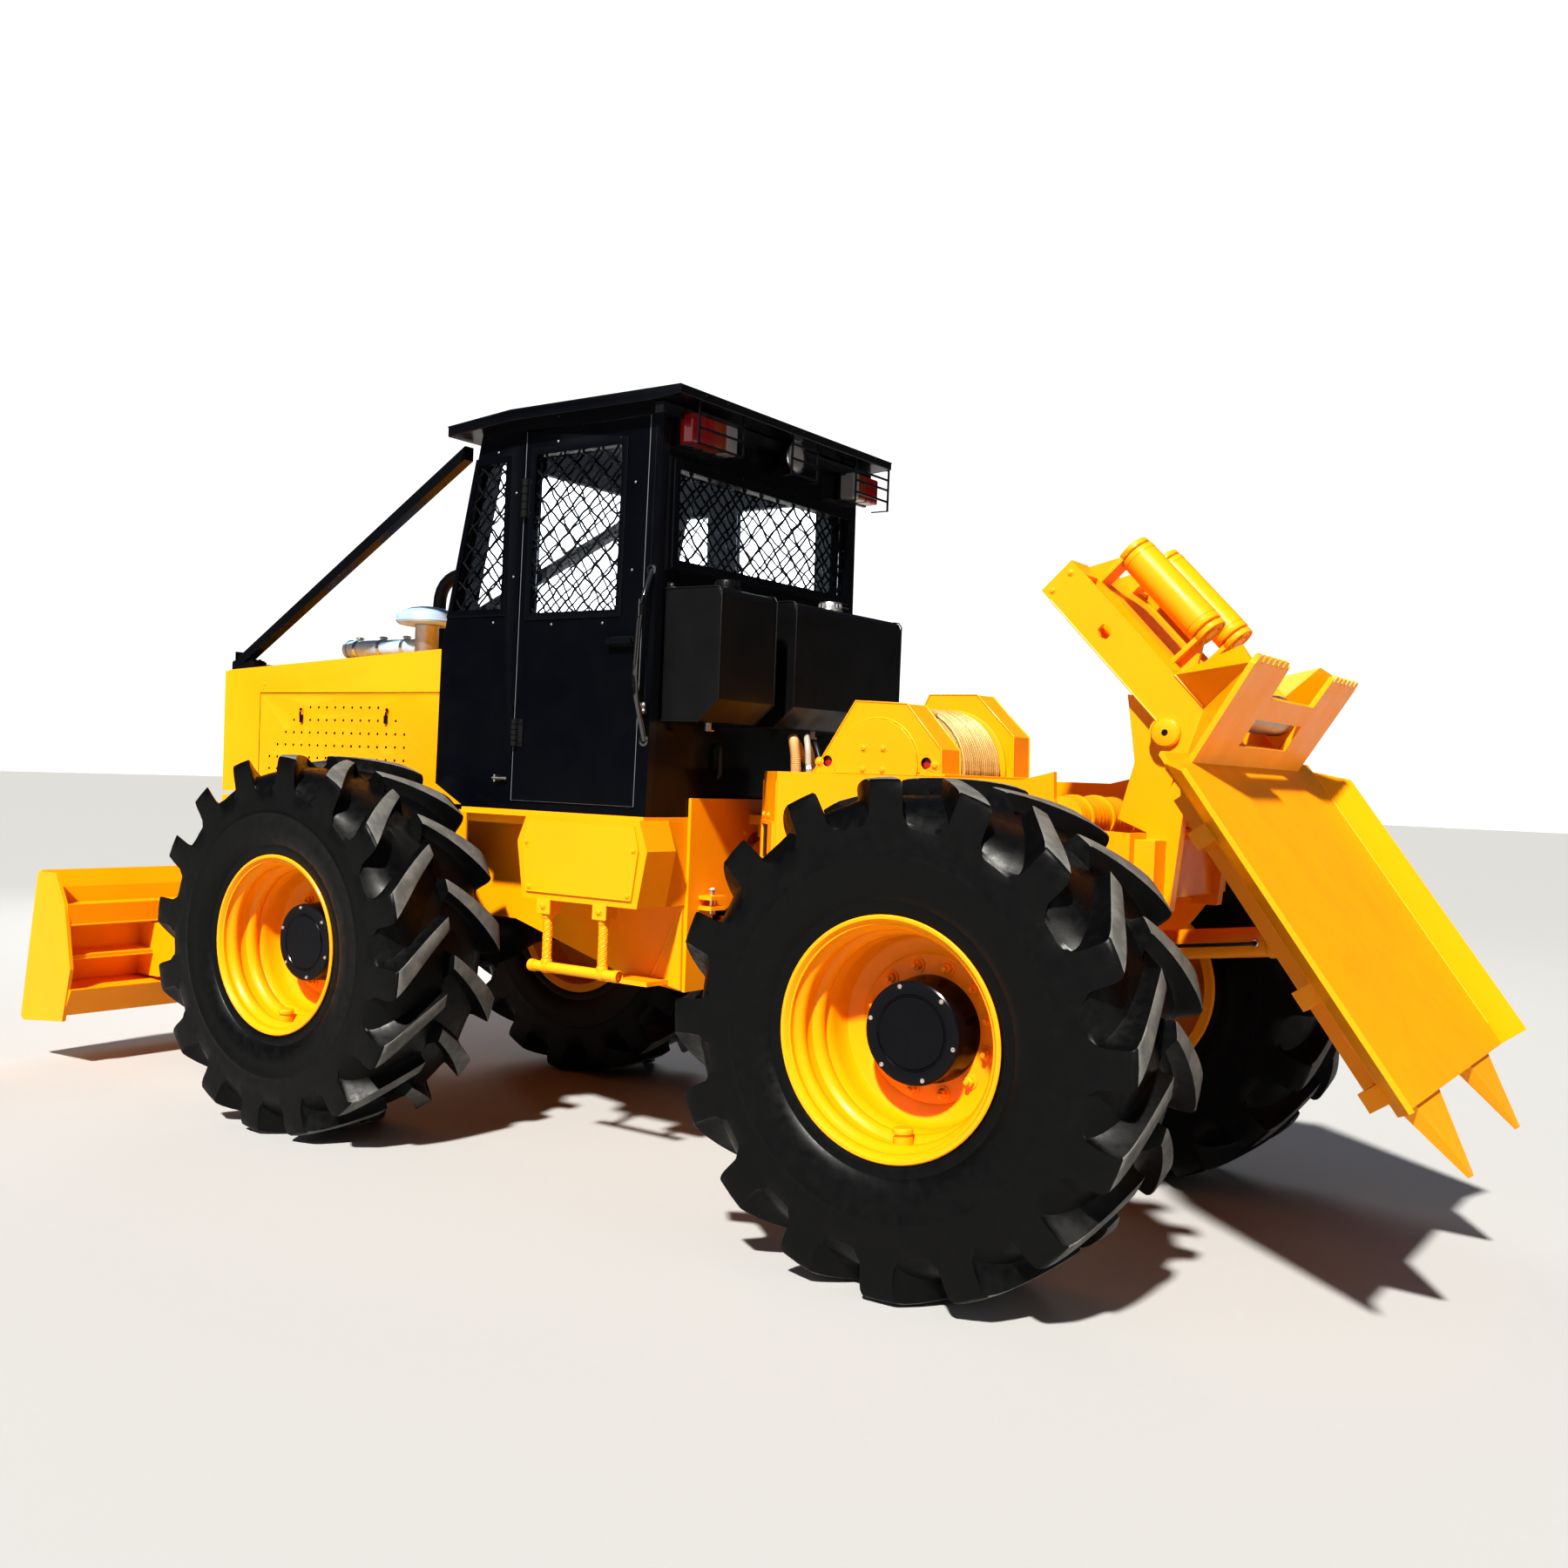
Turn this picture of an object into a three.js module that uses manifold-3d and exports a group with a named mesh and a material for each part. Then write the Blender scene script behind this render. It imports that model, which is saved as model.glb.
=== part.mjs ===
// Articulated cable skidder, full size, built as separate named solids.
// Millimetres. X points forward, Y to the machine's left, Z up.
// Inside the machine group X = 0 is the rear axle and Z = 0 the ground. The last
// lines move the group so that the origin lies under the middle of the machine.

import * as THREE from 'three';
import { mergeVertices } from 'three/addons/utils/BufferGeometryUtils.js';
import { ConvexGeometry } from 'three/addons/geometries/ConvexGeometry.js';
import Module from 'manifold-3d';

const wasm = await Module();
wasm.setup();

// ---------------------------------------------------------------- driving sizes
const GAP = 0.3;                 // space left between pieces that touch

const wheelbase = 2920;
const axleZ = 800;               // axle height, equal to the radius at the lugs' tips
const wheelY = 962;              // middle plane of each wheel
const tyreR = 800;               // over the lugs
const carcassR = 746;            // under the lugs
const flangeR = 379;             // rim flange
const seatR = 350;               // bead seat
const rimHalf = 266;
const wheelSides = 20;           // facets of the tyres and rims

const hingeX = 1253;             // articulation pin
const frameY = 470;              // outside of the front frame's side plates
const plate = 25;                // thickness of the frames' plates
const bulkheadX = 1326;          // rear face of the front frame
const frameTopZ = 1384;
const frontEndX = 4330;

const deckZ = 1385;
const deckT = 24;
const deckY = 753;

const cabRearX = 1340.3;
const cabFrontX = 2487;
const cabY = 742;                // outside of the cab's walls at the floor
const cabWall = 40;
const cabTopZ = 2975;
const roofTopZ = 3022;
const cabLean = 0.018;           // inward lean of the side walls, per unit of height
const cabFloorZ = deckZ + deckT + GAP;

const doorX = [1402, 2048];
const doorZ = [1444, 2942];

const hoodY = 484;
const hoodT = 20;
const hoodX = [2500, 4282];
const hoodLowZ = 1407;
const hoodTop = (x) => 2097 - 0.05 * (x - 2745);

const rearY = 420;               // outside of the rear frame's side plates
const rearTopZ = 1603;
const noseX = 1180;              // front face of the rear frame's nose
const winchAt = [540, 1635];     // drum axis, in X and Z

const headPivot = [-500, 1775];  // pin of the arms that carry the fairlead, in X and Z
const headSlope = 46.5;          // slope of the arms, degrees from level
const armY = 320;                // outside of the arms
const pinR = 28;                 // pins of the arms

const bladePin = [3660, 640];    // pin of the blade's arms, in X and Z
const bladeHalf = 1100;

// ---------------------------------------------------------------- solids and meshes
// A closed geometry as a solid. Faces wound inside out are turned round.
function toSolid(geometry) {
  let closed = geometry;
  if (!geometry.userData.closed) {
    closed = new THREE.BufferGeometry();
    closed.setAttribute('position', geometry.attributes.position.clone());
    if (geometry.index) closed.setIndex(geometry.index.clone());
    closed = mergeVertices(closed, 1e-3);
  }
  const corner = closed.attributes.position.array;
  const index = closed.index.array;
  const triangles = [];
  const [a, b, c] = [new THREE.Vector3(), new THREE.Vector3(), new THREE.Vector3()];
  let volume = 0;
  for (let i = 0; i < index.length; i += 3) {
    const [p, q, r] = [index[i], index[i + 1], index[i + 2]];
    if (p !== q && q !== r && r !== p) {
      triangles.push(p, q, r);
      a.fromArray(corner, 3 * p);
      b.fromArray(corner, 3 * q);
      c.fromArray(corner, 3 * r);
      volume += a.dot(b.cross(c));
    }
  }
  if (volume < 0) triangles.reverse();
  return new wasm.Manifold(new wasm.Mesh({
    numProp: 3,
    vertProperties: Float32Array.from(corner),
    triVerts: Uint32Array.from(triangles),
  }));
}

function toGeometry(solid) {
  const { vertProperties, triVerts } = solid.getMesh();
  const geometry = new THREE.BufferGeometry();
  geometry.setAttribute('position', new THREE.BufferAttribute(vertProperties, 3));
  geometry.setIndex(new THREE.BufferAttribute(triVerts, 1));
  geometry.userData.closed = true;
  return geometry;
}

const union = (shapes) => shapes.flat(3).map(toSolid).reduce((all, one) => all.add(one));
const join = (...shapes) => toGeometry(union(shapes));
const cut = (shape, ...tools) => toGeometry(toSolid(shape).subtract(union(tools)));
const common = (shape, other) => toGeometry(toSolid(shape).intersect(toSolid(other)));

// ---------------------------------------------------------------- shapes
function box(x, y, z) {
  return new THREE.BoxGeometry(x[1] - x[0], y[1] - y[0], z[1] - z[0])
    .translate((x[0] + x[1]) / 2, (y[0] + y[1]) / 2, (z[0] + z[1]) / 2);
}

// An outline, with holes if it has them, drawn out by a thickness. The outline is turned
// to run one way round and its holes the other.
function drawnOut(points, thickness, holes = []) {
  const loop = (list, clockwise) => {
    const corners = list.map(([a, b]) => new THREE.Vector2(a, b));
    return THREE.ShapeUtils.isClockWise(corners) === clockwise ? corners : corners.reverse();
  };
  const shape = new THREE.Shape(loop(points, false));
  shape.holes = holes.map((hole) => new THREE.Path(loop(hole, true)));
  return new THREE.ExtrudeGeometry(shape, { depth: thickness, bevelEnabled: false });
}
// Plates whose outline lies in X and Z, in X and Y, or in Y and Z.
const plateXZ = (points, y, holes) => drawnOut(points, y[1] - y[0], holes)
  .rotateX(Math.PI / 2).translate(0, y[1], 0);
const plateXY = (points, z, holes) => drawnOut(points, z[1] - z[0], holes)
  .translate(0, 0, z[0]);
const plateYZ = (points, x, holes) => drawnOut(points, x[1] - x[0], holes)
  .applyMatrix4(new THREE.Matrix4().makeBasis(
    new THREE.Vector3(0, 1, 0), new THREE.Vector3(0, 0, 1), new THREE.Vector3(1, 0, 0)))
  .translate(x[0], 0, 0);

// Places something drawn along Y so that it runs from point a towards point b.
function along(geometry, a, b) {
  const from = new THREE.Vector3(...a);
  const way = new THREE.Vector3(...b).sub(from).normalize();
  const turn = new THREE.Quaternion().setFromUnitVectors(new THREE.Vector3(0, 1, 0), way);
  return geometry.applyQuaternion(turn).translate(from.x, from.y, from.z);
}

// Round bar from point a to point b, tapered if it has a second radius.
function rod(radius, a, b, sides = 16, endRadius = radius) {
  const length = new THREE.Vector3(...a).distanceTo(new THREE.Vector3(...b));
  return along(new THREE.CylinderGeometry(endRadius, radius, length, sides)
    .translate(0, length / 2, 0), a, b);
}

// Profile of [distance from the axis, place along Y], turned about the Y axis.
const turned = (profile, sides) => new THREE.LatheGeometry(
  [...profile, profile[0]].map(([r, y]) => new THREE.Vector2(r, y)), sides);

const hull = (points) => new ConvexGeometry(points.map((p) => new THREE.Vector3(...p)));

// A flat plate with straight edges between its corners, made thick along a direction.
const slab = (corners, [dx, dy, dz]) => hull([
  ...corners, ...corners.map(([x, y, z]) => [x + dx, y + dy, z + dz])]);

const mirrorY = (shape) => shape.clone().scale(1, -1, 1);
const bothSides = (shape) => [shape, toGeometry(toSolid(mirrorY(toGeometry(toSolid(shape)))))];
const spaced = (first, last, count) => Array.from({ length: count },
  (_, i) => first + (last - first) * (count > 1 ? i / (count - 1) : 0));

// ---------------------------------------------------------------- the machine's groups
const machine = new THREE.Group();
machine.name = 'skidder';

const paints = {
  yellow: { color: 0xf2b705, roughness: 0.35, metalness: 0 },
  black: { color: 0x14161a, roughness: 0.3, metalness: 0 },
  rubber: { color: 0x1b1b1c, roughness: 0.75, metalness: 0 },
  steel: { color: 0x8d9196, roughness: 0.4, metalness: 0.8 },
  grey: { color: 0x5a6066, roughness: 0.6, metalness: 0.2 },
  lamp: { color: 0xb32020, roughness: 0.2, metalness: 0 },
};

// Adds a piece to a group. Every piece is one closed body with its faces outwards.
function add(name, shape, paint, group = machine) {
  const geometry = shape.userData.closed ? shape : toGeometry(toSolid(shape));
  const mesh = new THREE.Mesh(geometry, new THREE.MeshStandardMaterial(paints[paint]));
  mesh.name = name;
  group.add(mesh);
  return mesh;
}

// ---------------------------------------------------------------- front frame
function frontFrame() {
  const side = plateXZ([
    [bulkheadX, 716], [1600, 742], [2250, 930], [frontEndX, 930],
    [frontEndX, frameTopZ], [bulkheadX, frameTopZ],
  ], [frameY - plate, frameY]);
  const gusset = plateXZ([[1340, 724], [1345, 1056], [1490, 751]], [frameY - 8, frameY + 12]);
  const skid = box([1400, 1620], [frameY - 10, 620], [742, 760]);
  const floorPlate = box([1600, frontEndX], [-frameY, frameY], [930, 945]);
  const belly = plateXZ([
    [bulkheadX, 716], [1600, 742], [2250, 930], [2250, 950], [1600, 762],
    [bulkheadX, 736],
  ], [-frameY, frameY]);
  const bulkhead = plateYZ([
    [-frameY, 716], [frameY, 716], [frameY, 1484], [-frameY, 1484],
  ], [bulkheadX, 1340]);
  const lug = (z) => join(box([hingeX, 1330], [-64, 64], z),
    rod(64, [hingeX, 0, z[0]], [hingeX, 0, z[1]], 16));
  const lugs = [[780, 820], [874, 914], [1380, 1420]].map(lug);
  const nose = box([frontEndX - plate, frontEndX], [-frameY, frameY], [930, frameTopZ]);
  const bladeLug = [
    plateXZ([[3560, 940], [3580, 580], [3740, 580], [3760, 940]], [frameY - 20, 494]),
    box([4100, 4200], [frameY - 20, 505], [1250, frameTopZ]),
  ];
  const shaftTube = rod(108, [1330, 0, 1255], [1410, 0, 1255], 16);
  const shaftWell = rod(95, [1300, 0, 1255], [1395, 0, 1255], 16);
  const shaft = rod(46, [1300, 0, 1255], [1400, 0, 1255], 12);
  const lockBracket = bothSides([
    box([1262, 1330], [300, 400], [1040, 1056]), box([1262, 1330], [300, 400], [1082, 1098]),
  ].reduce((all, one) => join(all, one)));
  const pinHole = rod(35, [hingeX, 0, 770], [hingeX, 0, 1430], 12);
  const ramSlots = bothSides(box([1300, 1360], [135, 300], [940, 1036]));
  return join(cut(join(bothSides(side), bothSides(gusset), bothSides(skid), floorPlate, belly,
    bulkhead, nose, bladeLug.map(bothSides), shaftTube),
  shaftWell, ramSlots), cut(join(lugs), pinHole), shaft, lockBracket);
}
add('front_frame', frontFrame(), 'yellow');

// ---------------------------------------------------------------- axles
// Housing, differential in the middle and a flange at each end.
function axle(x) {
  const housing = rod(95, [x, -700, axleZ], [x, 700, axleZ], 10);
  const diff = rod(190, [x - 150, 0, axleZ], [x + 150, 0, axleZ], 12);
  const ends = rod(150, [x, 690, axleZ], [x, 760, axleZ], 12);
  const pads = box([x - 90, x + 90], [290, 420], [axleZ, 930 - GAP]);
  return cut(join(housing, diff, bothSides(ends), bothSides(pads)),
    box([x - 400, x + 400], [-280, 280], [928, 1100]));
}
add('front_axle', axle(wheelbase), 'black');
add('rear_axle', axle(0), 'black');

// ---------------------------------------------------------------- wheels
// Half sections as [radius, distance outwards from the wheel's middle].
const tyreProfile = [
  [seatR + GAP, -248], [440, -282], [600, -290], [carcassR, -235],
  [carcassR, 235], [600, 290], [440, 282], [seatR + GAP, 248],
];
const rimProfile = [
  [flangeR, -rimHalf], [flangeR, -261], [seatR, -250], [seatR, 250], [flangeR, 261],
  [flangeR, rimHalf], [345, 262], [300, 60], [300, -20], [165, -44], [165, 104],
  [0.05, 104], [0.05, -160], [315, -60],
];

// A lug runs from the tyre's middle to its shoulder and falls back by an angle on the
// way. Its two ends: [across the tyre, angle back, half width at its top, radius of its
// top, radius of its foot].
const lugEnds = [
  [-14, -0.01, 0.036, tyreR, 720],
  [286, 0.31, 0.056, 785, 600],
];
const lugCount = 16;             // on each half of the tread
const lugStart = 0.857;          // turn of the first lug, in pitches
const frontTurn = -0.14;         // how far the front wheels stand turned from the rear ones
const lugFoot = 0.016;           // how much wider a lug is at its foot, as an angle
function lug(start, side) {
  const ring = ([y, back, half, top, foot]) => [
    [top, -half], [top, half], [foot, -half - lugFoot], [foot, half + lugFoot],
  ].map(([r, swing]) => {
    const angle = start - back + swing;
    return [r * Math.sin(angle), side * y, r * Math.cos(angle)];
  });
  return hull(lugEnds.flatMap(ring));
}
function tyre() {
  const pitch = 2 * Math.PI / lugCount;
  const lugs = Array.from({ length: lugCount }, (_, i) => [
    lug((i + lugStart) * pitch, 1), lug((i + lugStart + 0.5) * pitch, -1)]);
  return join(turned(tyreProfile, wheelSides), lugs);
}
const tyreShape = tyre();
const rimShape = toGeometry(toSolid(turned(rimProfile, wheelSides)));
const wheels = [
  ['front_left', wheelbase, 1], ['front_right', wheelbase, -1],
  ['rear_left', 0, 1], ['rear_right', 0, -1],
];
for (const [place, x, side] of wheels) {
  const tyreMesh = add(`tyre_${place}`, tyreShape, 'rubber');
  const rimMesh = add(`rim_${place}`, rimShape, 'yellow');
  tyreMesh.position.set(x, side * wheelY, axleZ);
  rimMesh.position.set(x, side * wheelY, axleZ);
  tyreMesh.rotation.y = x > 0 ? frontTurn : 0;
  rimMesh.rotation.set(0, tyreMesh.rotation.y, side > 0 ? 0 : Math.PI);
}

// ---------------------------------------------------------------- engine and hood
add('engine', box([2620, 3900], [-300, 300], [1000, 1960]), 'grey');

// Everything below the hood's sloping top.
const underHood = plateXZ([
  [2000, 1900], [4600, 1900], [4600, hoodTop(4600) + GAP], [2000, hoodTop(2000) + GAP],
], [-700, 700]);

function hood() {
  const [x0, x1] = hoodX;
  const outline = (wall, over) => [
    [x0 - over, hoodLowZ - over], [x1 + over, hoodLowZ - over],
    [x1 + over, hoodTop(x1 + over) - wall], [x0 - over, hoodTop(x0 - over) - wall],
  ];
  const shell = plateXZ(outline(0, 0), [-hoodY, hoodY]);
  const inside = plateXZ(outline(hoodT, 5), [-hoodY + hoodT, hoodY - hoodT]);
  const latches = [3091, 3694].map((x) => box([x - 7, x + 7], [hoodY - 5, hoodY + 8],
    [1760, 1818]));
  return join(cut(shell, inside), bothSides(join(latches)));
}
add('hood', hood(), 'yellow');

function grille() {
  const [, x1] = hoodX;
  const edge = 60;
  const frame = plateYZ([
    [-hoodY, hoodLowZ], [hoodY, hoodLowZ], [hoodY, 2015], [-hoodY, 2015],
  ], [x1 + GAP, x1 + 28], [[
    [-hoodY + edge, hoodLowZ + edge], [-hoodY + edge, 2015 - edge],
    [hoodY - edge, 2015 - edge], [hoodY - edge, hoodLowZ + edge],
  ]]);
  const slats = spaced(1515, 1905, 6).map((z) => box([x1 + 5, x1 + 23],
    [-hoodY + edge - 10, hoodY - edge + 10], [z, z + 16]));
  const ribs = spaced(-200, 200, 2).map((y) => box([x1 + 8, x1 + 20], [y - 8, y + 8],
    [hoodLowZ + edge - 10, 2015 - edge + 10]));
  return join(frame, slats, ribs);
}
add('grille', grille(), 'yellow');

function airCleaner() {
  const [x, y] = [3090, 250];
  const stem = rod(54, [x, y, 2050], [x, y, 2245], 10);
  const cap = turned([[0.05, 2236], [120, 2236], [145, 2250], [145, 2290], [80, 2325],
    [0.05, 2325]], 16).rotateX(Math.PI / 2).translate(x, y, 0);
  const pipe = rod(42, [x, y, 2130], [3640, y, 2130], 10);
  const saddles = [3230, 3560].map((at) => box([at - 10, at + 10], [y - 30, y + 30],
    [2030, 2130]));
  return cut(join(stem, cap, pipe, saddles), underHood);
}
add('air_cleaner', airCleaner(), 'steel');

function exhaust() {
  const [x, y] = [3400, -120];
  const radius = 33;
  const section = new THREE.Shape().absarc(0, 0, radius, 0, 2 * Math.PI);
  const route = new THREE.CatmullRomCurve3([
    [x, y, 2030], [x, y, 2250], [x, y, 2400], [x - 22, y, 2455], [x - 70, y, 2500],
    [x - 140, y, 2525], [x - 240, y, 2545],
  ].map((p) => new THREE.Vector3(...p)));
  const pipe = new THREE.ExtrudeGeometry(section, {
    extrudePath: route, steps: 10, curveSegments: 5, bevelEnabled: false,
  });
  const collar = rod(48, [x, y, 2030], [x, y, 2110], 10);
  return cut(join(pipe, collar), underHood);
}
add('exhaust', exhaust(), 'black');

// Two rails from the hood's front corners up to the roof's front edge.
function brushGuard() {
  const foot = [4215, 452, 2060];
  const top = [2428, 660, 2905];
  const size = 26;
  const square = ([x, y, z], tall) => [[-1, -1], [1, -1], [1, 1], [-1, 1]].map(([a, b]) => [
    x, y + a * size, z + b * tall]);
  const rail = hull([...square(foot, size), ...square(top, size * 1.1)]);
  const shoe = box([4090, 4262], [400, 480], [2020, 2062]);
  const tie = box([4170, 4240], [-452, 452], [2026, 2056]);
  return cut(join(bothSides(rail), bothSides(shoe), tie), underHood,
    box([2300, 2431], [-800, 800], [2800, 3100]));
}
add('brush_guard', brushGuard(), 'black');

// ---------------------------------------------------------------- deck and toolboxes
function deck() {
  const top = box([1340 + GAP, 2313], [-deckY, deckY], [deckZ, deckZ + deckT]);
  const flared = plateXZ([
    [1338, 1395], [1295, 1280], [1337, 1060], [1925, 1060], [1962, 1288], [1915, 1395],
  ], [600, 780]);
  const inner = box([1340 + GAP, 1915], [frameY + GAP, 605], [1060, 1395]);
  const lid = plateXZ([
    [1360, 1372], [1335, 1280], [1362, 1090], [1900, 1090], [1925, 1288], [1895, 1372],
  ], [775, 788]);
  const hanger = (x) => [box([x - 22, x + 22], [700, 775], [1000, 1070]),
    rod(14, [x, 750, 790], [x, 750, 1010], 6)];
  const rung = rod(20, [1455, 750, 790], [1875, 750, 790], 8);
  const wing = box([1915, 2313], [frameY + GAP, 720], [1350, 1386]);
  return cut(join(top, bothSides(join(flared, inner, lid, hanger(1520), hanger(1810), rung,
    wing))), box([1300, 2400], [-frameY - GAP, frameY + GAP], [900, deckZ]));
}
add('deck', deck(), 'yellow');

// ---------------------------------------------------------------- cab
const windscreenX = (z) => cabFrontX - (z - 2078) * (166 / 769);
const wallTopZ = 2957;
const wallTopX = windscreenX(wallTopZ);

// Leans a shape of the cab's left side inwards.
const lean = (shape) => shape.applyMatrix4(new THREE.Matrix4().set(
  1, 0, 0, 0,
  0, 1, -cabLean, cabLean * deckZ,
  0, 0, 1, 0,
  0, 0, 0, 1));

function cabSide() {
  const outline = [
    [cabRearX, cabFloorZ], [2313, cabFloorZ], [cabFrontX, 1500], [cabFrontX, 2078],
    [wallTopX, wallTopZ], [2069, cabTopZ], [cabRearX, cabTopZ],
  ];
  const doorway = [
    [doorX[0] - 5, doorZ[0] - 5], [doorX[0] - 5, doorZ[1] + 5],
    [doorX[1] + 5, doorZ[1] + 5], [doorX[1] + 5, doorZ[0] - 5],
  ];
  const quarterLight = [[2147, 2228], [2150, 2828], [2305, 2828], [2430, 2228]];
  const wall = plateXZ(outline, [cabY - cabWall, cabY], [doorway, quarterLight]);
  const grip = [[1366, -8, 2349], [1354, 72, 2210], [1370, 70, 1906], [1365, -8, 1700]];
  const handrail = grip.slice(1).map(([x, out, z], i) => rod(10,
    [grip[i][0], cabY + grip[i][1], grip[i][2]], [x, cabY + out, z], 8));
  return lean(join(wall, handrail));
}
add('cab_left', cabSide(), 'black');
add('cab_right', toGeometry(toSolid(mirrorY(cabSide()))), 'black');

function door() {
  const [x0, x1] = doorX;
  const panel = plateXZ([[x0, doorZ[0]], [x1, doorZ[0]], [x1, doorZ[1]], [x0, doorZ[1]]],
    [cabY - cabWall, cabY], [[[1533, 2206], [1533, 2843], [1983, 2843], [1983, 2206]]]);
  const windowFrame = plateXZ([[1505, 2178], [2011, 2178], [2011, 2871], [1505, 2871]],
    [cabY - 5, cabY + 8], [[[1533, 2206], [1533, 2843], [1983, 2843], [1983, 2206]]]);
  const handle = [box([1440, 1452], [cabY - 5, cabY + 32], [2072, 2092]),
    box([1530, 1542], [cabY - 5, cabY + 32], [2072, 2092]),
    box([1430, 1552], [cabY + 20, cabY + 34], [2070, 2094])];
  const hinges = [[1666, 1777], [2594, 2751]].map((z) => rod(13,
    [2032, cabY + 10, z[0]], [2032, cabY + 10, z[1]], 10));
  return lean(join(panel, windowFrame, handle, hinges));
}
add('door_left', door(), 'black');
add('door_right', toGeometry(toSolid(mirrorY(door()))), 'black');

const inY = cabY - cabWall - GAP;        // inner face of the side walls at the floor
function cabFloor() {
  const solid = plateXZ([
    [cabRearX + cabWall + GAP, cabFloorZ], [2313, cabFloorZ], [2486 - cabWall, 1487],
    [2486 - cabWall, 1520], [2300, 1440], [cabRearX + cabWall + GAP, 1440],
  ], [-inY + 3, inY - 3]);
  return solid;
}
add('cab_floor', cabFloor(), 'black');

// The space across the cab between the leaning walls.
const across = plateYZ([
  [-inY + cabLean * 24, 1409], [inY - cabLean * 24, 1409],
  [inY - cabLean * 1600, 2985], [-inY + cabLean * 1600, 2985],
], [1200, 2600]);

function cabRear() {
  const wall = plateYZ([[-800, cabFloorZ], [800, cabFloorZ], [800, cabTopZ], [-800, cabTopZ]],
    [cabRearX, cabRearX + cabWall], [[[-620, 2400], [-620, 2745], [620, 2745], [620, 2400]]]);
  const windowFrame = plateYZ([[-680, 2353], [680, 2353], [680, 2790], [-680, 2790]],
    [cabRearX - 10, cabRearX + 5], [[[-620, 2400], [-620, 2745], [620, 2745], [620, 2400]]]);
  return common(join(cut(wall, box([1300, 1390], [-frameY - 5, frameY + 5], [1300, 1489])),
    windowFrame), across);
}
add('cab_rear', cabRear(), 'black');

function cabFront() {
  const wall = plateXZ([
    [cabFrontX - cabWall, 1490], [cabFrontX, 1500], [cabFrontX, 2078],
    [wallTopX, wallTopZ], [wallTopX - cabWall, wallTopZ], [cabFrontX - cabWall, 2070],
  ], [-800, 800]);
  const window = box([2250, 2600], [-600, 600], [2130, 2860]);
  return common(cut(wall, window), across);
}
add('cab_front', cabFront(), 'black');

const roofY = 792;
function cabRoof() {
  return join(plateXZ([
    [1206, roofTopZ - 35], [cabRearX, cabTopZ + GAP], [2069, cabTopZ + GAP],
    [wallTopX, wallTopZ + GAP], [2426, 2946], [2426, 2989], [2069, roofTopZ - 4],
    [2066, roofTopZ], [1206, roofTopZ],
  ], [-roofY, roofY]));
}
add('cab_roof', cabRoof(), 'black');

function seat() {
  const base = box([1700, 1980], [-190, 190], [1440 + GAP, 1720]);
  const cushion = box([1600, 2080], [-250, 250], [1700, 1830]);
  const back = plateXZ([[1520, 1760], [1640, 1760], [1590, 2420], [1480, 2420]],
    [-230, 230]);
  const armrest = [box([1560, 1600], [225, 290], [1900, 1960]),
    box([1560, 1900], [250, 300], [1950, 2000])];
  return join(base, cushion, back, bothSides(join(armrest)));
}
add('seat', seat(), 'black');

function controls() {
  const column = cut(join(box([2280, 2420], [-120, 120], [1441, 1960]),
    rod(25, [2330, 0, 1940], [2220, 0, 2060], 8)),
  plateXZ([[2200, 1300], [2500, 1300], [2500, 1545], [2450, 1522], [2300, 1441],
    [2200, 1441]], [-300, 300]));
  const ring = turned([[170, -12], [200, -12], [200, 12], [170, 12]], 10);
  const spokes = [box([-180, 180], [-10, 10], [-15, 15])];
  const wheel = along(join(ring, spokes), [2220, 0, 2060], [2130, 0, 2160]);
  const levers = [-1, 1].map((side) => rod(10, [2300, 60 * side, 1950],
    [2270, 75 * side, 2150], 6, 18));
  return join(column, wheel, levers);
}
add('controls', controls(), 'black');

// ------------------------------------------------------ lamps under the roof's rear edge
// Each lamp: [middle in Y, half width, height of its foot, height of its top].
const lamps = [[492, 160, 2838, 2954], [-88, 64, 2856, 2970], [-606, 166, 2826, 2944]];
function rearLamps() {
  const rail = box([1300, 1340], [-770, 770], [2930, 2972]);
  const boxes = lamps.map(([y, half, low, top]) => box([1262, 1335], [y - half, y + half],
    [low, top]));
  const cages = lamps.map(([y, half, low, top]) => {
    const [left, right] = [y - half - 10, y + half + 10];
    const grid = box([1214, 1220], [left, right], [low - 10, top - 4]);
    const ends = spaced(left, right, 4);
    const gaps = ends.slice(1).map((end, i) => box([1200, 1230], [ends[i] + 6, end - 6],
      [low, top - 12]));
    const bar = box([1215, 1219], [left + 3, right - 3], [(low + top) / 2 - 3,
      (low + top) / 2 + 3]);
    const arms = [left, right - 6].map((at) => box([1217, 1320], [at, at + 6],
      [top - 16, top - 6]));
    return [cut(grid, gaps), bar, arms];
  });
  return join(rail, boxes, cages);
}
add('rear_lamps', rearLamps(), 'lamp');

// ---------------------------------------------------------------- tanks behind the cab
const tankX = [1062, cabRearX - 11];
function tank(y) {
  const [x0, x1] = tankX;
  const corner = 34;
  const body = plateXZ([
    [x0, 1862], [x0, 2283 - corner], [x0 + 10, 2283 - 10], [x0 + corner, 2283], [x1, 2283],
    [x1, 1780], [x0 + 90, 1780],
  ], y);
  const strap = box([x1 - 5, cabRearX - GAP], [y[0] + 60, y[1] - 60], [1820, 2240]);
  const filler = [rod(46, [x0 + 110, (y[0] + y[1]) / 2, 2280],
    [x0 + 110, (y[0] + y[1]) / 2, 2300], 16),
  rod(38, [x0 + 110, (y[0] + y[1]) / 2, 2290], [x0 + 110, (y[0] + y[1]) / 2, 2326], 16)];
  return join(body, strap, filler);
}
add('tank_left', tank([312, 683]), 'black');
add('tank_right', tank([-683, 170]), 'black');

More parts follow.
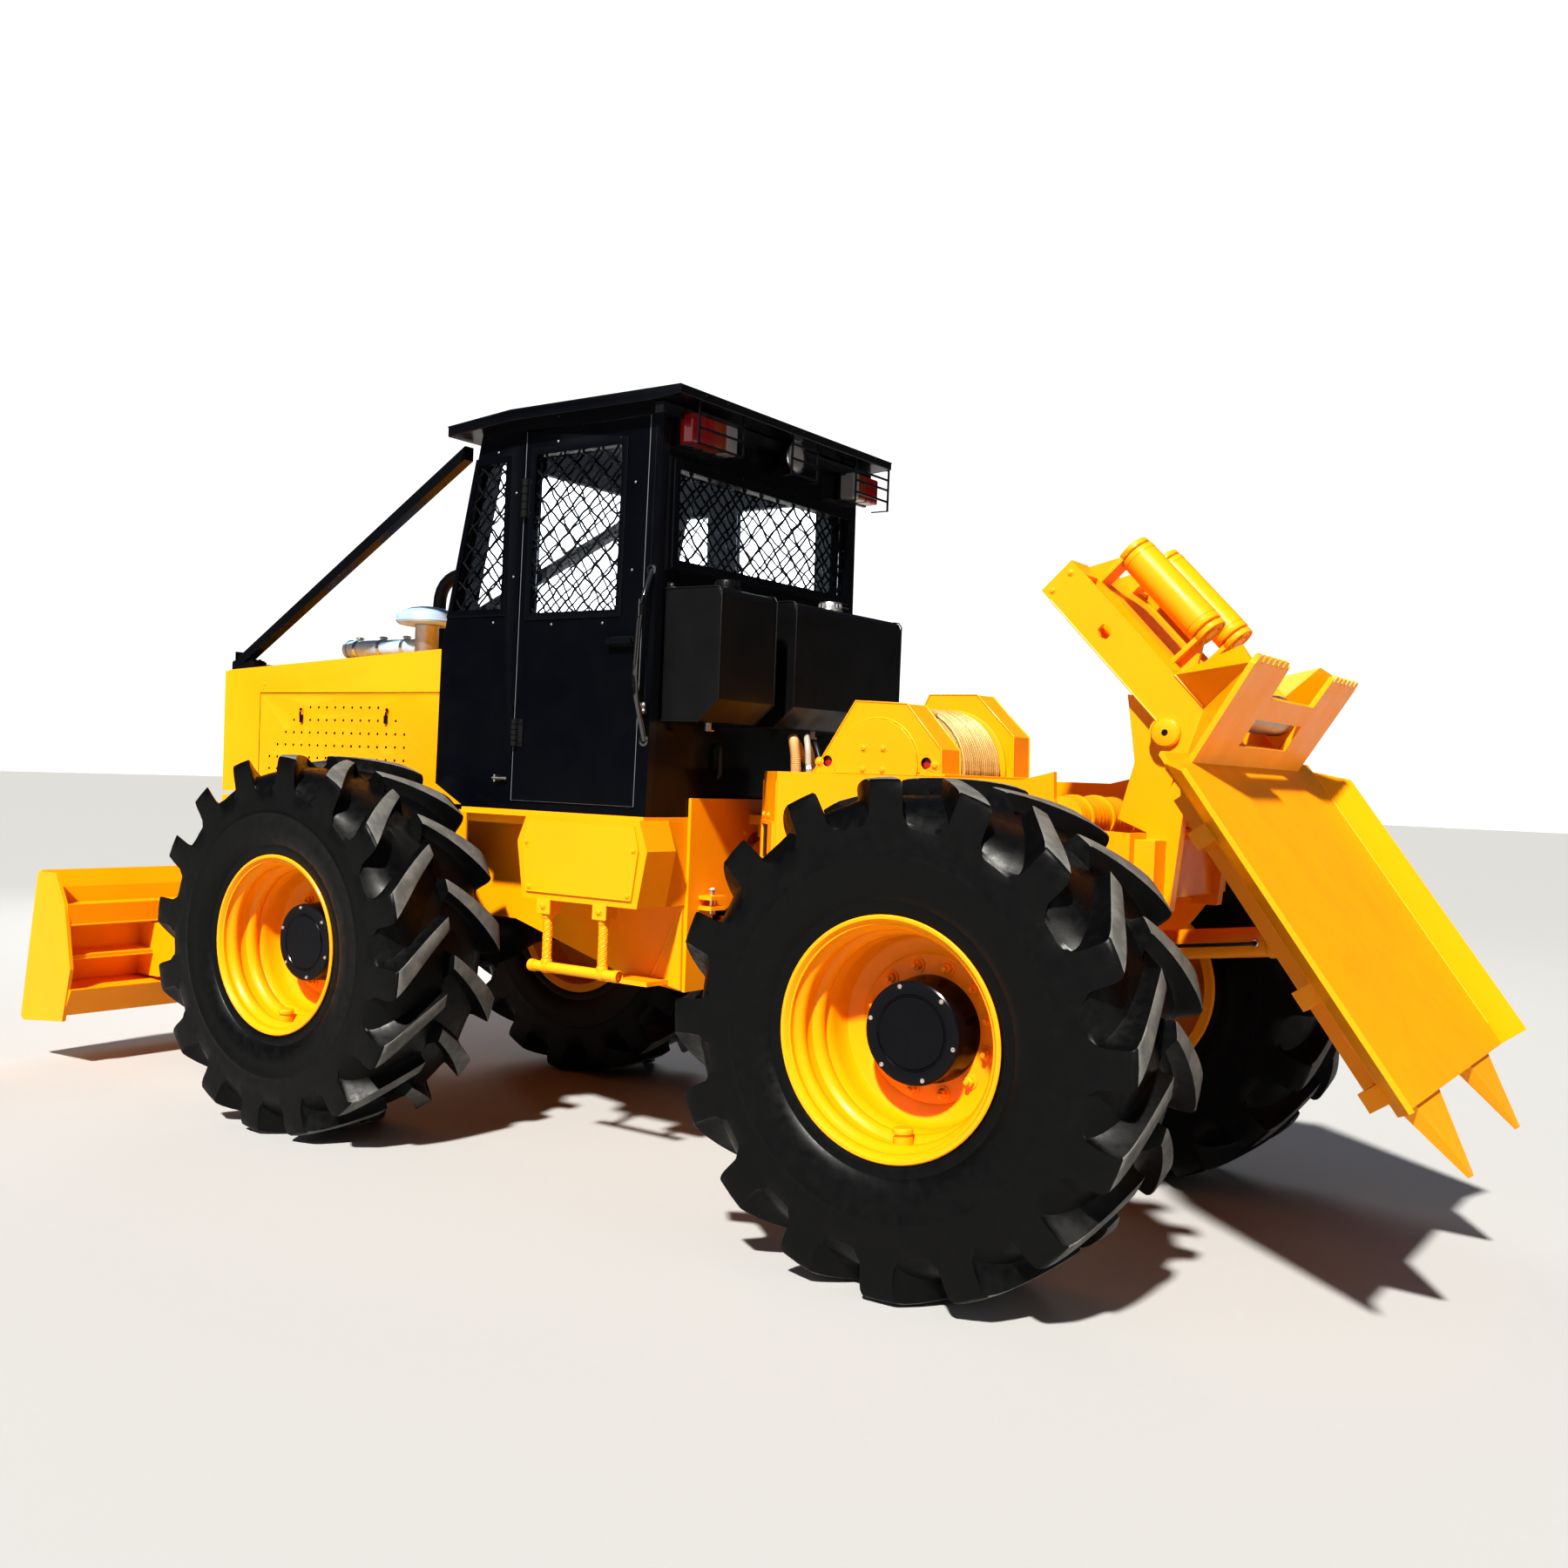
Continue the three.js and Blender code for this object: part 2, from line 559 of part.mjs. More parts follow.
// ---------------------------------------------------------------- dozer blade
// The curve of the blade's face, from its cutting edge up, and the same set back.
const bladeFace = [[5080, 215], [4960, 300], [4880, 430], [4850, 590], [4860, 750],
  [4900, 880], [4950, 965]];
const bladeBack = [[4915, 975], [4860, 890], [4820, 750], [4810, 590], [4840, 420],
  [4925, 280], [5050, 200]];
function blade() {
  const inside = [-bladeHalf + 10, bladeHalf - 10];
  const mould = plateXZ([...bladeFace, ...bladeBack], [-bladeHalf, bladeHalf]);
  const end = plateXZ([
    [5080, 215], [4950, 965], [4790, 968], [4700, 810], [4640, 500], [4700, 235],
    [5050, 200],
  ], [bladeHalf - 20, bladeHalf]);
  const beam = box([4690, 4830], inside, [715, 815]);
  const low = plateXZ([[4642, 395], [4705, 262], [4930, 250], [4860, 415]], inside);
  const seam = plateXZ([[4700, 540], [4830, 560], [4830, 580], [4700, 560]], inside);
  const ribs = spaced(-250, 250, 2).map((y) => box([4700, 4850], [y - 6, y + 6], [380, 740]));
  const arm = plateXZ([
    [bladePin[0], 580], [4650, 420], [4860, 420], [4850, 700], [4700, 700],
    [bladePin[0], 700],
  ], [500, 600]);
  const eye = rod(75, [bladePin[0], 500, bladePin[1]], [bladePin[0], 600, bladePin[1]], 20);
  const horns = [[505, 517], [583, 595]].map((y) => box([4215, 4285], y, [640, 775]));
  return join(mould, bothSides(end), beam, low, seam, ribs,
    bothSides(join(arm, eye, horns)));
}
add('blade', blade(), 'yellow');

// ---------------------------------------------------------------- cylinders
// A hydraulic cylinder between two pins: its barrel, with an eye at the base, and the
// rod that slides in it, with an eye at the tip. pinWay is the direction of both pins,
// and size lists the barrel's radius, the rod's radius, the barrel's length and how far
// the rod can still go in.
function ram(base, tip, pinWay, [barrelR, rodR, barrelLength, retract]) {
  const way = new THREE.Vector3(...tip).sub(new THREE.Vector3(...base)).normalize();
  const at = (distance) => new THREE.Vector3(...base).addScaledVector(way, distance).toArray();
  const total = new THREE.Vector3(...base).distanceTo(new THREE.Vector3(...tip));
  const pin = new THREE.Vector3(...pinWay);
  const eye = (centre, half, radius) => {
    const middle = new THREE.Vector3(...centre);
    return rod(radius, middle.clone().addScaledVector(pin, -half).toArray(),
      middle.clone().addScaledVector(pin, half).toArray(), 10);
  };
  const bottom = barrelR * 1.2;
  const bore = rod(rodR + GAP, at(bottom), at(barrelLength + 5), 10);
  const barrel = cut(join(rod(barrelR, at(0), at(barrelLength), 10),
    eye(base, barrelR * 0.8, barrelR * 0.9)), bore);
  const piston = join(rod(rodR, at(bottom + retract + 5), at(total), 10),
    eye(tip, barrelR * 0.7, barrelR * 0.8));
  return [barrel, piston];
}
const sides = [['left', 1], ['right', -1]];

for (const [place, side] of sides) {
  const [barrel, piston] = ram([4150, 550 * side, 1330], [4250, 550 * side, 740],
    [0, 1, 0], [42, 22, 360, 183]);
  add(`blade_barrel_${place}`, barrel, 'yellow');
  add(`blade_rod_${place}`, piston, 'steel');
}
const [plateBarrel, plateRod] = ram([-230, 0, 1020], [-980, 0, 1116], [0, 1, 0],
  [52, 28, 600, 80]);
add('plate_barrel', plateBarrel, 'yellow');
add('plate_rod', plateRod, 'steel');

const steerZ = 990;
for (const [place, side] of sides) {
  const [barrel, piston] = ram([1800, 300 * side, steerZ], [1130, 215 * side, steerZ],
    [0, 0, 1], [40, 21, 440, 165]);
  add(`steer_barrel_${place}`, barrel, 'yellow');
  add(`steer_rod_${place}`, piston, 'steel');
}

// ---------------------------------------------------------------- rear frame
// Opening that the winch's drum hangs through, between the winch's cheeks.
const drumSides = [-200, 255];
const drumOpening = box([winchAt[0] - 242, winchAt[0] + 242], drumSides,
  [rearTopZ - 40, rearTopZ + 20]);
function rearFrame() {
  const side = plateXZ([
    [960, rearTopZ], [960, 1212], [760, 930], [-250, 930], [-430, 1180], [-430, 1440],
    [-190, 1450], [-161, 1545], [-157, 1634], [-40, rearTopZ],
  ], [rearY - plate, rearY]);
  const floorPlate = box([-250, 760], [-rearY, rearY], [930, 950]);
  const top = cut(box([200, 960], [-rearY, rearY], [rearTopZ - 20, rearTopZ]),
    drumOpening);
  const noseOutline = [[950, rearY], [noseX, 180], [noseX, -180], [950, -rearY]];
  const noseTop = plateXY(noseOutline, [rearTopZ - 20, rearTopZ]);
  const noseFloor = plateXY(noseOutline, [1212, 1232]);
  const cheek = plateXY([[960, rearY], [noseX, 180], [1160, 165], [935, 400]],
    [1212, rearTopZ]);
  const slot = box([900, 1400], [60, 150], [1257, 1397]);
  const front = cut(box([1155, noseX], [-180, 180], [860, rearTopZ]), bothSides(slot));
  const keel = box([740, noseX], [-150, 150], [845, 950]);
  const post = box([1000, noseX], [-150, 150], [845, 1232]);
  const back = box([-430, -405], [-rearY + 10, rearY - 10], [1195, 1440]);
  const lug = (z) => join(box([noseX - 10, hingeX], [-60, 60], z),
    rod(60, [hingeX, 0, z[0]], [hingeX, 0, z[1]], 16));
  const lugs = [[824, 870], [1330, 1376]].map(lug);
  const pins = [[784, 910], [1322, 1416]].map(([low, high]) => rod(32, [hingeX, 0, low],
    [hingeX, 0, high], 12));
  const ramLugs = box([-280, -180], [55, 75], [940, 1070]);
  const steerLugs = [[steerZ - 52, steerZ - 32], [steerZ + 32, steerZ + 52]].map((z) => join(
    box([1080, 1150], [140, 215], z), rod(35, [1130, 215, z[0]], [1130, 215, z[1]], 12)));
  return join(bothSides(side), floorPlate, top, noseTop, noseFloor, bothSides(cheek),
    front, keel, post, back, lugs, pins, bothSides(ramLugs), bothSides(join(steerLugs)));
}
add('rear_frame', rearFrame(), 'yellow');

// Fixed tube across the frame behind the winch, with four collars.
function crossTube() {
  const [x, z] = [-180, 1478];
  const end = rearY - plate - GAP;
  const collars = [-300, -110, 110, 300].map((y) => rod(81, [x, y - 14, z],
    [x, y + 14, z], 14));
  return join(rod(75, [x, -end, z], [x, end, z], 14), collars);
}
add('cross_tube', crossTube(), 'yellow');

// ---------------------------------------------------------------- winch
// Two thick cheeks on a base plate, the one on the machine's right taller, with the wound
// drum between them. The drum's shaft ends in a blind bearing in each cheek.
const shaftR = 26;
const shaftEnds = [-260, 315];
const wound = { rope: [-183, 238], flanges: [-195, 250], ropeR: 205, flangeR: 235 };
function winchHousing() {
  const [x, z] = winchAt;
  const foot = rearTopZ + GAP;
  const left = plateXZ([[811, foot], [638, 1873], [424, 1863], [279, 1701], [274, foot]],
    [drumSides[1], 400]);
  const right = plateXZ([[811, foot], [651, 1933], [443, 1933], [281, 1771], [276, foot]],
    [-345, drumSides[0]]);
  const base = cut(box([262, 815], [-345, 400], [foot, foot + 10]), drumOpening);
  const cover = cut(rod(174, [x, 390, z], [x, 412, z], 20),
    box([x - 200, x + 200], [380, 420], [foot - 200, foot]));
  const wells = rod(shaftR + 3, [x, shaftEnds[0] - 6, z], [x, shaftEnds[1] + 6, z], 12);
  return cut(join(left, right, base, cover), wells);
}
add('winch_housing', winchHousing(), 'yellow');

function winchDrum() {
  const [start, end] = shaftEnds;
  const { rope, flanges } = wound;
  return turned([
    [0.05, start], [shaftR, start], [shaftR, flanges[0]], [wound.flangeR, flanges[0]],
    [wound.flangeR, rope[0]], [wound.ropeR, rope[0]], [wound.ropeR, rope[1]],
    [wound.flangeR, rope[1]], [wound.flangeR, flanges[1]], [shaftR, flanges[1]],
    [shaftR, end], [0.05, end],
  ], 18).translate(winchAt[0], 0, winchAt[1]);
}
add('winch_drum', winchDrum(), 'steel');

// ---------------------------------------------------------------- arch that carries the head
function arch() {
  const leg = plateXZ([
    [-330, 1482], [-380, 1677], [-345, 1905], [-400, 1890], [-560, 1830], [-575, 1760],
    [-540, 1690], [-470, 1500], [-430 - GAP, 1442],
  ], [225, 275]);
  const foot = plateXZ([
    [-430 - GAP, 1180], [-430 - GAP, 1480], [-520, 1620], [-560, 1600], [-520, 1180],
  ], [225, 275]);
  const bridge = box([-500, -430 - GAP], [-380, 380], [1222, 1420]);
  const [x, z] = headPivot;
  const pin = rod(pinR, [x, 250, z], [x, 318, z], 12);
  return join(bothSides(join(leg, foot, pin)), bridge);
}
add('arch', arch(), 'yellow');

// ---------------------------------------------------------------- head with guide rollers
// The head's group stands at its pin and is turned by the arms' slope: X runs up the
// arms, Z out of them.
const head = new THREE.Group();
head.name = 'head_frame';
head.position.set(headPivot[0], 0, headPivot[1]);
head.rotation.y = -headSlope * Math.PI / 180;
machine.add(head);

const armHigh = 145;             // depth of the arms
const armEnd = 670;
const rollerAt = [0.5 * (217 + 580), 150, 288];
const rollerHalf = 181;
const rollerR = 62;

function headBody() {
  const outer = plateXZ([
    [-134, -56], [-50, -50], [-50, 0], [armEnd, 0], [armEnd, armHigh], [-22, armHigh],
  ], [armY - 20, armY], [[[425, 55], [425, 80], [400, 92], [378, 80], [378, 55], [400, 43]]]);
  const inner = plateXZ([[240, 0], [armEnd, 0], [armEnd, armHigh], [20, armHigh],
    [20, 120]], [180, 200]);
  const backWall = box([240, armEnd], [180, armY], [0, 14]);
  const endCap = box([armEnd - 70, armEnd], [180, armY], [armHigh - 16, armHigh]);
  const lowPlate = box([20, 150], [180, armY], [armHigh - 16, armHigh]);
  const base = box([150, armEnd], [-199, 199], [armHigh - 24, armHigh - 4]);
  const endTie = box([armEnd - 20, armEnd], [-199, 199], [0, armHigh - 4]);
  const boss = rod(46, [0, armY - 5, 0], [0, armY + 16, 0], 16);
  const pivotEye = rod(60, [0, armY - 39, 0], [0, armY, 0], 16);
  // The plates that flare from the arms out to the ears of the rear plate.
  const tip = [-92, 600, 396];
  const foot = [-198, 582, 22];
  const hornUpper = slab([[125, armY, armHigh], [-22, armY, armHigh], tip, [6, 470, 386]],
    [0, -20, 0]);
  const hornLower = slab([[-22, armY, armHigh], [-134, armY, -56], foot, tip], [0, -20, 0]);
  const half = join(outer, inner, backWall, endCap, lowPlate, boss, pivotEye, hornUpper,
    hornLower);
  return join(bothSides(cut(half, rod(pinR + 2, [0, 260, 0], [0, 318 + GAP, 0], 12))),
    base, endTie);
}

// The rear plate lies across the machine, with saw teeth along the tops of its ears.
// Its outline: [Y, way up the plate].
const rearPlateLow = [-200, 12];         // foot of the plate, in the group's X and Z
const rearPlateLean = Math.atan2(105, 378);
function rearPlate() {
  const teeth = spaced(290, 560, 6).flatMap((y) => [
    [y, 405], [y + 8, 428], [y + 40, 424], [y + 44, 403]]);
  const half = [[255, 300], [270, 418], ...teeth, [610, 396], [590, 0]];
  const outline = [...half, ...half.map(([y, up]) => [-y, up]).reverse()];
  const opening = [[-262, 122], [-262, 222], [262, 222], [262, 122]];
  return toGeometry(toSolid(plateYZ(outline, [-10, 8], [opening])
    .rotateY(rearPlateLean)
    .translate(rearPlateLow[0], 0, rearPlateLow[1])));
}

// Brackets at both ends of each guide roller, standing on the base between the arms.
function rollerBrackets() {
  const [mid, y, high] = rollerAt;
  const ends = [mid + rollerHalf + 4, mid - rollerHalf - 22];
  return ends.flatMap((at, low) => bothSides(join(
    box([at, at + 16], [y - 44, y + 44], [armHigh - 10, high]),
    rod(rollerR - 3, [at, y, high], [at + 16, y, high], 10),
    plateXZ(low ? [[at - 90, armHigh - 10], [at + 5, armHigh - 10], [at + 5, high - 20]]
      : [[at + 90, armHigh - 10], [at + 13, armHigh - 10], [at + 13, high - 20]],
    [y - 9, y + 9]))));
}
const crossRollerAt = [-55, 185];
const rollerCheeks = [-320, 300].map((y) => box([-145, 30], [y, y + 20], [110, 250]));

// The loading plate's group stands at its sheet's top edge: X runs down the sheet, Z to
// its underside. The head ends where the sheet begins.
const sheetTop = [-660, 1700];
const sheetLow = [-1366, 729];
const sheetLength = Math.hypot(sheetTop[0] - sheetLow[0], sheetTop[1] - sheetLow[1]);
const loader = new THREE.Group();
loader.name = 'loader_frame';
loader.position.set(sheetTop[0], 0, sheetTop[1]);
loader.rotation.y = Math.PI - Math.atan2(sheetTop[1] - sheetLow[1], sheetTop[0] - sheetLow[0]);
machine.add(loader);
head.updateMatrix();
loader.updateMatrix();
const sheetSpace = box([-5, 400], [-960, 960], [-GAP, 130])
  .applyMatrix4(head.matrix.clone().invert().multiply(loader.matrix));

add('head', cut(join(headBody(), rearPlate(), rollerBrackets(), rollerCheeks), sheetSpace),
  'yellow', head);

const [rollerX, rollerY, rollerZ] = rollerAt;
for (const [place, side] of sides) {
  add(`side_roller_${place}`, rod(rollerR, [rollerX - rollerHalf, side * rollerY, rollerZ],
    [rollerX + rollerHalf, side * rollerY, rollerZ], 16), 'yellow', head);
}
add('cross_roller', rod(72, [crossRollerAt[0], -294, crossRollerAt[1]],
  [crossRollerAt[0], 294, crossRollerAt[1]], 16), 'steel', head);

// ---------------------------------------------------------------- loading plate
const sheetHalf = 800;
const flangeHalf = 950;
function loadingPlate() {
  const sheet = box([0, sheetLength], [-sheetHalf, sheetHalf], [0, 16]);
  const flange = slab([[30, sheetHalf - 5, 0], [sheetLength, sheetHalf - 5, 0],
    [sheetLength, flangeHalf, -70], [110, flangeHalf, -70]], [0, 0, 16]);
  const ribs = [300, 560].map((y) => box([100, sheetLength - 80], [y - 40, y + 40],
    [10, 110]));
  const bands = [240, 780, sheetLength - 100].map((x) => box([x, x + 60], [-780, 780],
    [10, 80]));
  const tine = hull([
    [sheetLength - 260, 180, 10], [sheetLength - 260, 660, 10],
    [sheetLength - 260, 180, 60], [sheetLength - 260, 660, 60],
    [sheetLength - 20, 240, 12], [sheetLength - 20, 600, 12],
    [sheetLength - 20, 240, 62], [sheetLength - 20, 600, 62],
    [sheetLength + 245, 414, 30], [sheetLength + 245, 426, 30],
    [sheetLength + 245, 414, 46], [sheetLength + 245, 426, 46],
  ]);
  const ramEye = box([610, 710], [52, 72], [10, 135]);
  return join(sheet, bothSides(join(flange)), bothSides(join(ribs)), bands,
    bothSides(join(tine)), bothSides(join(ramEye)));
}
add('loading_plate', loadingPlate(), 'yellow', loader);

// ---------------------------------------------------------------- place and hand over
machine.updateMatrixWorld(true);
const reach = new THREE.Box3().setFromObject(machine, true);
machine.position.set(-(reach.min.x + reach.max.x) / 2, 0, -reach.min.z);
machine.updateMatrixWorld(true);

export default machine;
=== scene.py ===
# Cable skidder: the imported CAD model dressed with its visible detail, procedural
# materials, a studio and a camera. Metres, in the frame's own axes.
import math

import bmesh
import bpy
from mathutils import Matrix, Vector


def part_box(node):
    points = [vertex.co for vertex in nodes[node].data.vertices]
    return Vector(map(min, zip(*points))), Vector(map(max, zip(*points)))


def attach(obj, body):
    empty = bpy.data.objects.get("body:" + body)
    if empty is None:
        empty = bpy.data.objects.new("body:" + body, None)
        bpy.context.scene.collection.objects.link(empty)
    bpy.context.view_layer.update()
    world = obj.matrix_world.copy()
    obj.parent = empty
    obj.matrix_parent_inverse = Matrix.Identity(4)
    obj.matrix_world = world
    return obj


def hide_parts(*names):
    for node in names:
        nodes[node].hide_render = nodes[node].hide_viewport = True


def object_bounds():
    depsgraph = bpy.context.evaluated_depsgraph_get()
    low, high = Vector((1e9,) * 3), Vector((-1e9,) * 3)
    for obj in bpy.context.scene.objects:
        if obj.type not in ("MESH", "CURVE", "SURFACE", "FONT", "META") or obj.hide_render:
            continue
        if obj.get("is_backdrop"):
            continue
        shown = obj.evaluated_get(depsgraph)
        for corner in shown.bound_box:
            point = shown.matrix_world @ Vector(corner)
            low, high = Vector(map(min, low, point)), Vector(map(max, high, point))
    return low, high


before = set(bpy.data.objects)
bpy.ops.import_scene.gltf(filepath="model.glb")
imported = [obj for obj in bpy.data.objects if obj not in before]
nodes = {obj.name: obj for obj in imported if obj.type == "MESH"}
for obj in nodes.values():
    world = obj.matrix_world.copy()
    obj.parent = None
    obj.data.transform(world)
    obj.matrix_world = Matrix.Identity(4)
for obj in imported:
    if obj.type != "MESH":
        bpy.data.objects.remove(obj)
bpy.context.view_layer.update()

rear_low, rear_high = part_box("tyre_rear_left")
front_low, front_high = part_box("tyre_front_left")
AXLE_X = (rear_low.x + rear_high.x) / 2          # rear axle
FRONT_X = (front_low.x + front_high.x) / 2
AXLE_Z = (rear_low.z + rear_high.z) / 2
WHEEL_Y = (rear_low.y + rear_high.y) / 2


def at(x, y, z):
    """A place in millimetres from the ground under the rear axle, in the frame."""
    return Vector((AXLE_X + x / 1000, y / 1000, z / 1000))


def turned(step, count):
    """The angle of one of the steps that a whole turn is split into."""
    return 2 * math.pi * step / count


def both_ways(profile, *middle):
    """A turned profile, from one end to its middle, carried on to the other end."""
    mirrored = [(radius, -along) for radius, along in profile]
    return mirrored + list(middle) + profile[::-1]


def across(way):
    """A unit vector at right angles to another, level unless that one is upright."""
    helper = Vector((0, 0, 1)) if abs(way.z) < 0.9 else Vector((1, 0, 0))
    return way.cross(helper).normalized()


def rounded_ring(low, high, corner, radius, steps, place):
    """A rectangle's outline with rounded corners, each of its places put through place."""
    ring = []
    for quarter, (sa, sb) in enumerate(((1, 1), (-1, 1), (-1, -1), (1, -1))):
        a = high[0] if sa > 0 else low[0]
        b = high[1] if sb > 0 else low[1]
        for k in range(steps + 1):
            turn = math.pi / 2 * (quarter + k / steps)
            ring.append(place(a - sa * corner + radius * math.cos(turn),
                              b - sb * corner + radius * math.sin(turn)))
    return ring


TIP = 0.0001                     # radius of a turned shape's end on its axis
SIDES = (("left", 1), ("right", -1))

# ------------------------------------------------------------------ materials
class Look:
    """Builds one node material around a Principled shader."""

    def __init__(self, name, base, rough, metal=0.0, coat=0.0, ior=1.5):
        self.mat = bpy.data.materials.new(name)
        self.mat.use_nodes = True
        self.tree = self.mat.node_tree
        self.shader = self.tree.nodes["Principled BSDF"]
        self.set("Base Color", (*base, 1))
        self.set("Roughness", rough)
        self.set("Metallic", metal)
        self.set("Coat Weight", coat)
        self.set("Coat Roughness", 0.08)
        self.set("IOR", ior)
        self.coords = self.tree.nodes.new("ShaderNodeTexCoord").outputs["Object"]

    def set(self, socket, value):
        self.shader.inputs[socket].default_value = value

    def node(self, kind, **inputs):
        made = self.tree.nodes.new(kind)
        for key, value in inputs.items():
            target = made.inputs[key.replace("_", " ")]
            if isinstance(value, bpy.types.NodeSocket):
                self.tree.links.new(value, target)
            else:
                target.default_value = value
        return made

    def noise(self, scale, detail=4.0, rough=0.55, stretch=None):
        vector = self.coords
        if stretch:
            mapping = self.node("ShaderNodeMapping", Vector=vector, Scale=stretch)
            vector = mapping.outputs["Vector"]
        made = self.node("ShaderNodeTexNoise", Vector=vector, Scale=scale, Detail=detail,
                         Roughness=rough)
        return made.outputs["Fac"]

    def ramp(self, source, low, high, first, last):
        made = self.node("ShaderNodeValToRGB", Fac=source)
        ramp = made.color_ramp
        ramp.elements[0].position, ramp.elements[1].position = low, high
        ramp.elements[0].color = (*first, 1)
        ramp.elements[1].color = (*last, 1)
        return made.outputs["Color"]

    def range(self, source, low, high, first, last):
        made = self.node("ShaderNodeMapRange", Value=source)
        for key, value in (("From Min", low), ("From Max", high), ("To Min", first),
                           ("To Max", last)):
            made.inputs[key].default_value = value
        return made.outputs["Result"]

    def mix(self, factor, one, two):
        made = self.tree.nodes.new("ShaderNodeMix")
        made.data_type = "RGBA"
        for socket, value in ((made.inputs[0], factor), (made.inputs[6], one),
                              (made.inputs[7], two)):
            if isinstance(value, bpy.types.NodeSocket):
                self.tree.links.new(value, socket)
            elif isinstance(value, tuple):
                socket.default_value = (*value, 1)
            else:
                socket.default_value = value
        return made.outputs[2]

    def link(self, source, socket):
        self.tree.links.new(source, self.shader.inputs[socket])

    def bump(self, height, strength, distance=0.002):
        made = self.node("ShaderNodeBump", Strength=strength, Distance=distance,
                         Height=height)
        self.link(made.outputs["Normal"], "Normal")

    def pointiness(self):
        return self.tree.nodes.new("ShaderNodeNewGeometry").outputs["Pointiness"]


def paint(name, base, dark, rough, coat, dust=(0.35, 0.28, 0.2), dust_amount=0.12,
          shine=0.5):
    """Sprayed enamel: slow colour change, thin dust, painted highlight on edges, orange peel."""
    look = Look(name, base, rough, coat=coat)
    look.set("Specular IOR Level", shine)
    slow = look.ramp(look.noise(2.2, 3), 0.35, 0.7, base, dark)
    dusty = look.range(look.noise(5.5, 8, 0.65), 0.52, 0.8, 0.0, dust_amount)
    coloured = look.mix(dusty, slow, dust)
    # Convex edges, found by pointiness, are painted lighter: a painted highlight.
    edge = look.range(look.pointiness(), 0.52, 0.6, 0.0, 0.35)
    edge_highlight_colour = tuple(min(1.0, c * 1.25 + 0.02) for c in base)
    look.link(look.mix(edge, coloured, edge_highlight_colour), "Base Color")
    look.link(look.range(look.noise(9, 6), 0.3, 0.75, rough * 0.8, rough * 1.35),
              "Roughness")
    look.bump(look.noise(260, 2), 0.06, 0.0006)
    return look.mat


yellow = paint("yellow_paint", (0.94, 0.335, 0.0012), (0.92, 0.31, 0.0012), 0.36, 0.08,
               dust_amount=0.01, shine=0.22)
black = paint("black_paint", (0.0016, 0.0021, 0.0042), (0.0022, 0.0026, 0.0042), 0.22, 0.06,
              dust=(0.10, 0.09, 0.08), dust_amount=0.006, shine=0.14)
black_satin = paint("black_satin", (0.0020, 0.0022, 0.0028), (0.0028, 0.0028, 0.0032), 0.38,
                    0.02, dust=(0.12, 0.11, 0.10), dust_amount=0.012, shine=0.15)
gloss_black = paint("gloss_black", (0.006, 0.0062, 0.007), (0.009, 0.009, 0.01), 0.12, 0.9,
                    dust_amount=0.0, shine=0.9)


def rubber(name, base, worn_and_highlight, rough):
    look = Look(name, base, rough)
    look.set("Specular IOR Level", 0.20)
    cloud = look.range(look.noise(14, 8, 0.7), 0.42, 0.75, 0.0, 1.0)
    look.link(look.mix(cloud, base, worn_and_highlight), "Base Color")
    look.link(look.range(look.noise(30, 6), 0.3, 0.7, rough - 0.1, rough + 0.12),
              "Roughness")
    look.bump(look.noise(170, 6, 0.7), 0.2, 0.0008)
    return look.mat


tyre_side = rubber("tyre_rubber", (0.0020, 0.0021, 0.0024), (0.0035, 0.0034, 0.0034), 0.40)
tyre_top = rubber("tyre_tread_top", (0.10, 0.102, 0.098), (0.20, 0.196, 0.18), 0.72)


def metal(name, base, rough, stretch=(1, 1, 1), scratch=0.15, scale=90):
    look = Look(name, base, rough, metal=1.0)
    look.link(look.range(look.noise(scale, 6, 0.7, stretch), 0.3, 0.7, rough * 0.7,
                         rough * 1.5), "Roughness")
    grime = look.range(look.noise(16, 6), 0.5, 0.8, 0.0, 0.45)
    look.link(look.mix(grime, base, tuple(c * 0.45 for c in base)), "Base Color")
    look.bump(look.noise(scale * 2, 4, 0.6, stretch), scratch, 0.0005)
    return look.mat


chrome = metal("chromed_rod", (0.78, 0.79, 0.8), 0.12, scratch=0.03)
zinc = metal("zinc_bolt", (0.72, 0.72, 0.70), 0.3)
steel = metal("worn_steel", (0.42, 0.40, 0.38), 0.42)


def plain(name, base, rough, metal_amount=0.0, scale=120, bump=0.2, coat=0.0):
    look = Look(name, base, rough, metal=metal_amount, coat=coat)
    shade = look.range(look.noise(10, 6), 0.35, 0.7, 0.0, 1.0)
    look.link(look.mix(shade, base, tuple(c * 0.75 for c in base)), "Base Color")
    look.link(look.range(look.noise(24, 5), 0.3, 0.7, rough * 0.85, rough * 1.2),
              "Roughness")
    look.bump(look.noise(scale, 5), bump, 0.0008)
    return look.mat


cap_metal = plain("cap_enamel", (0.42, 0.58, 0.76), 0.4, coat=0.1)
rope_steel = plain("wire_rope", (0.55, 0.36, 0.12), 0.45, 0.25, scale=220, bump=0.5)
cast_iron = plain("engine_cast_iron", (0.045, 0.05, 0.055), 0.55, 0.4)
# Light grey for the door seams: a painted highlight on the doors' edges.
seam_highlight_grey = plain("seam_highlight_grey", (0.16, 0.17, 0.19), 0.4)
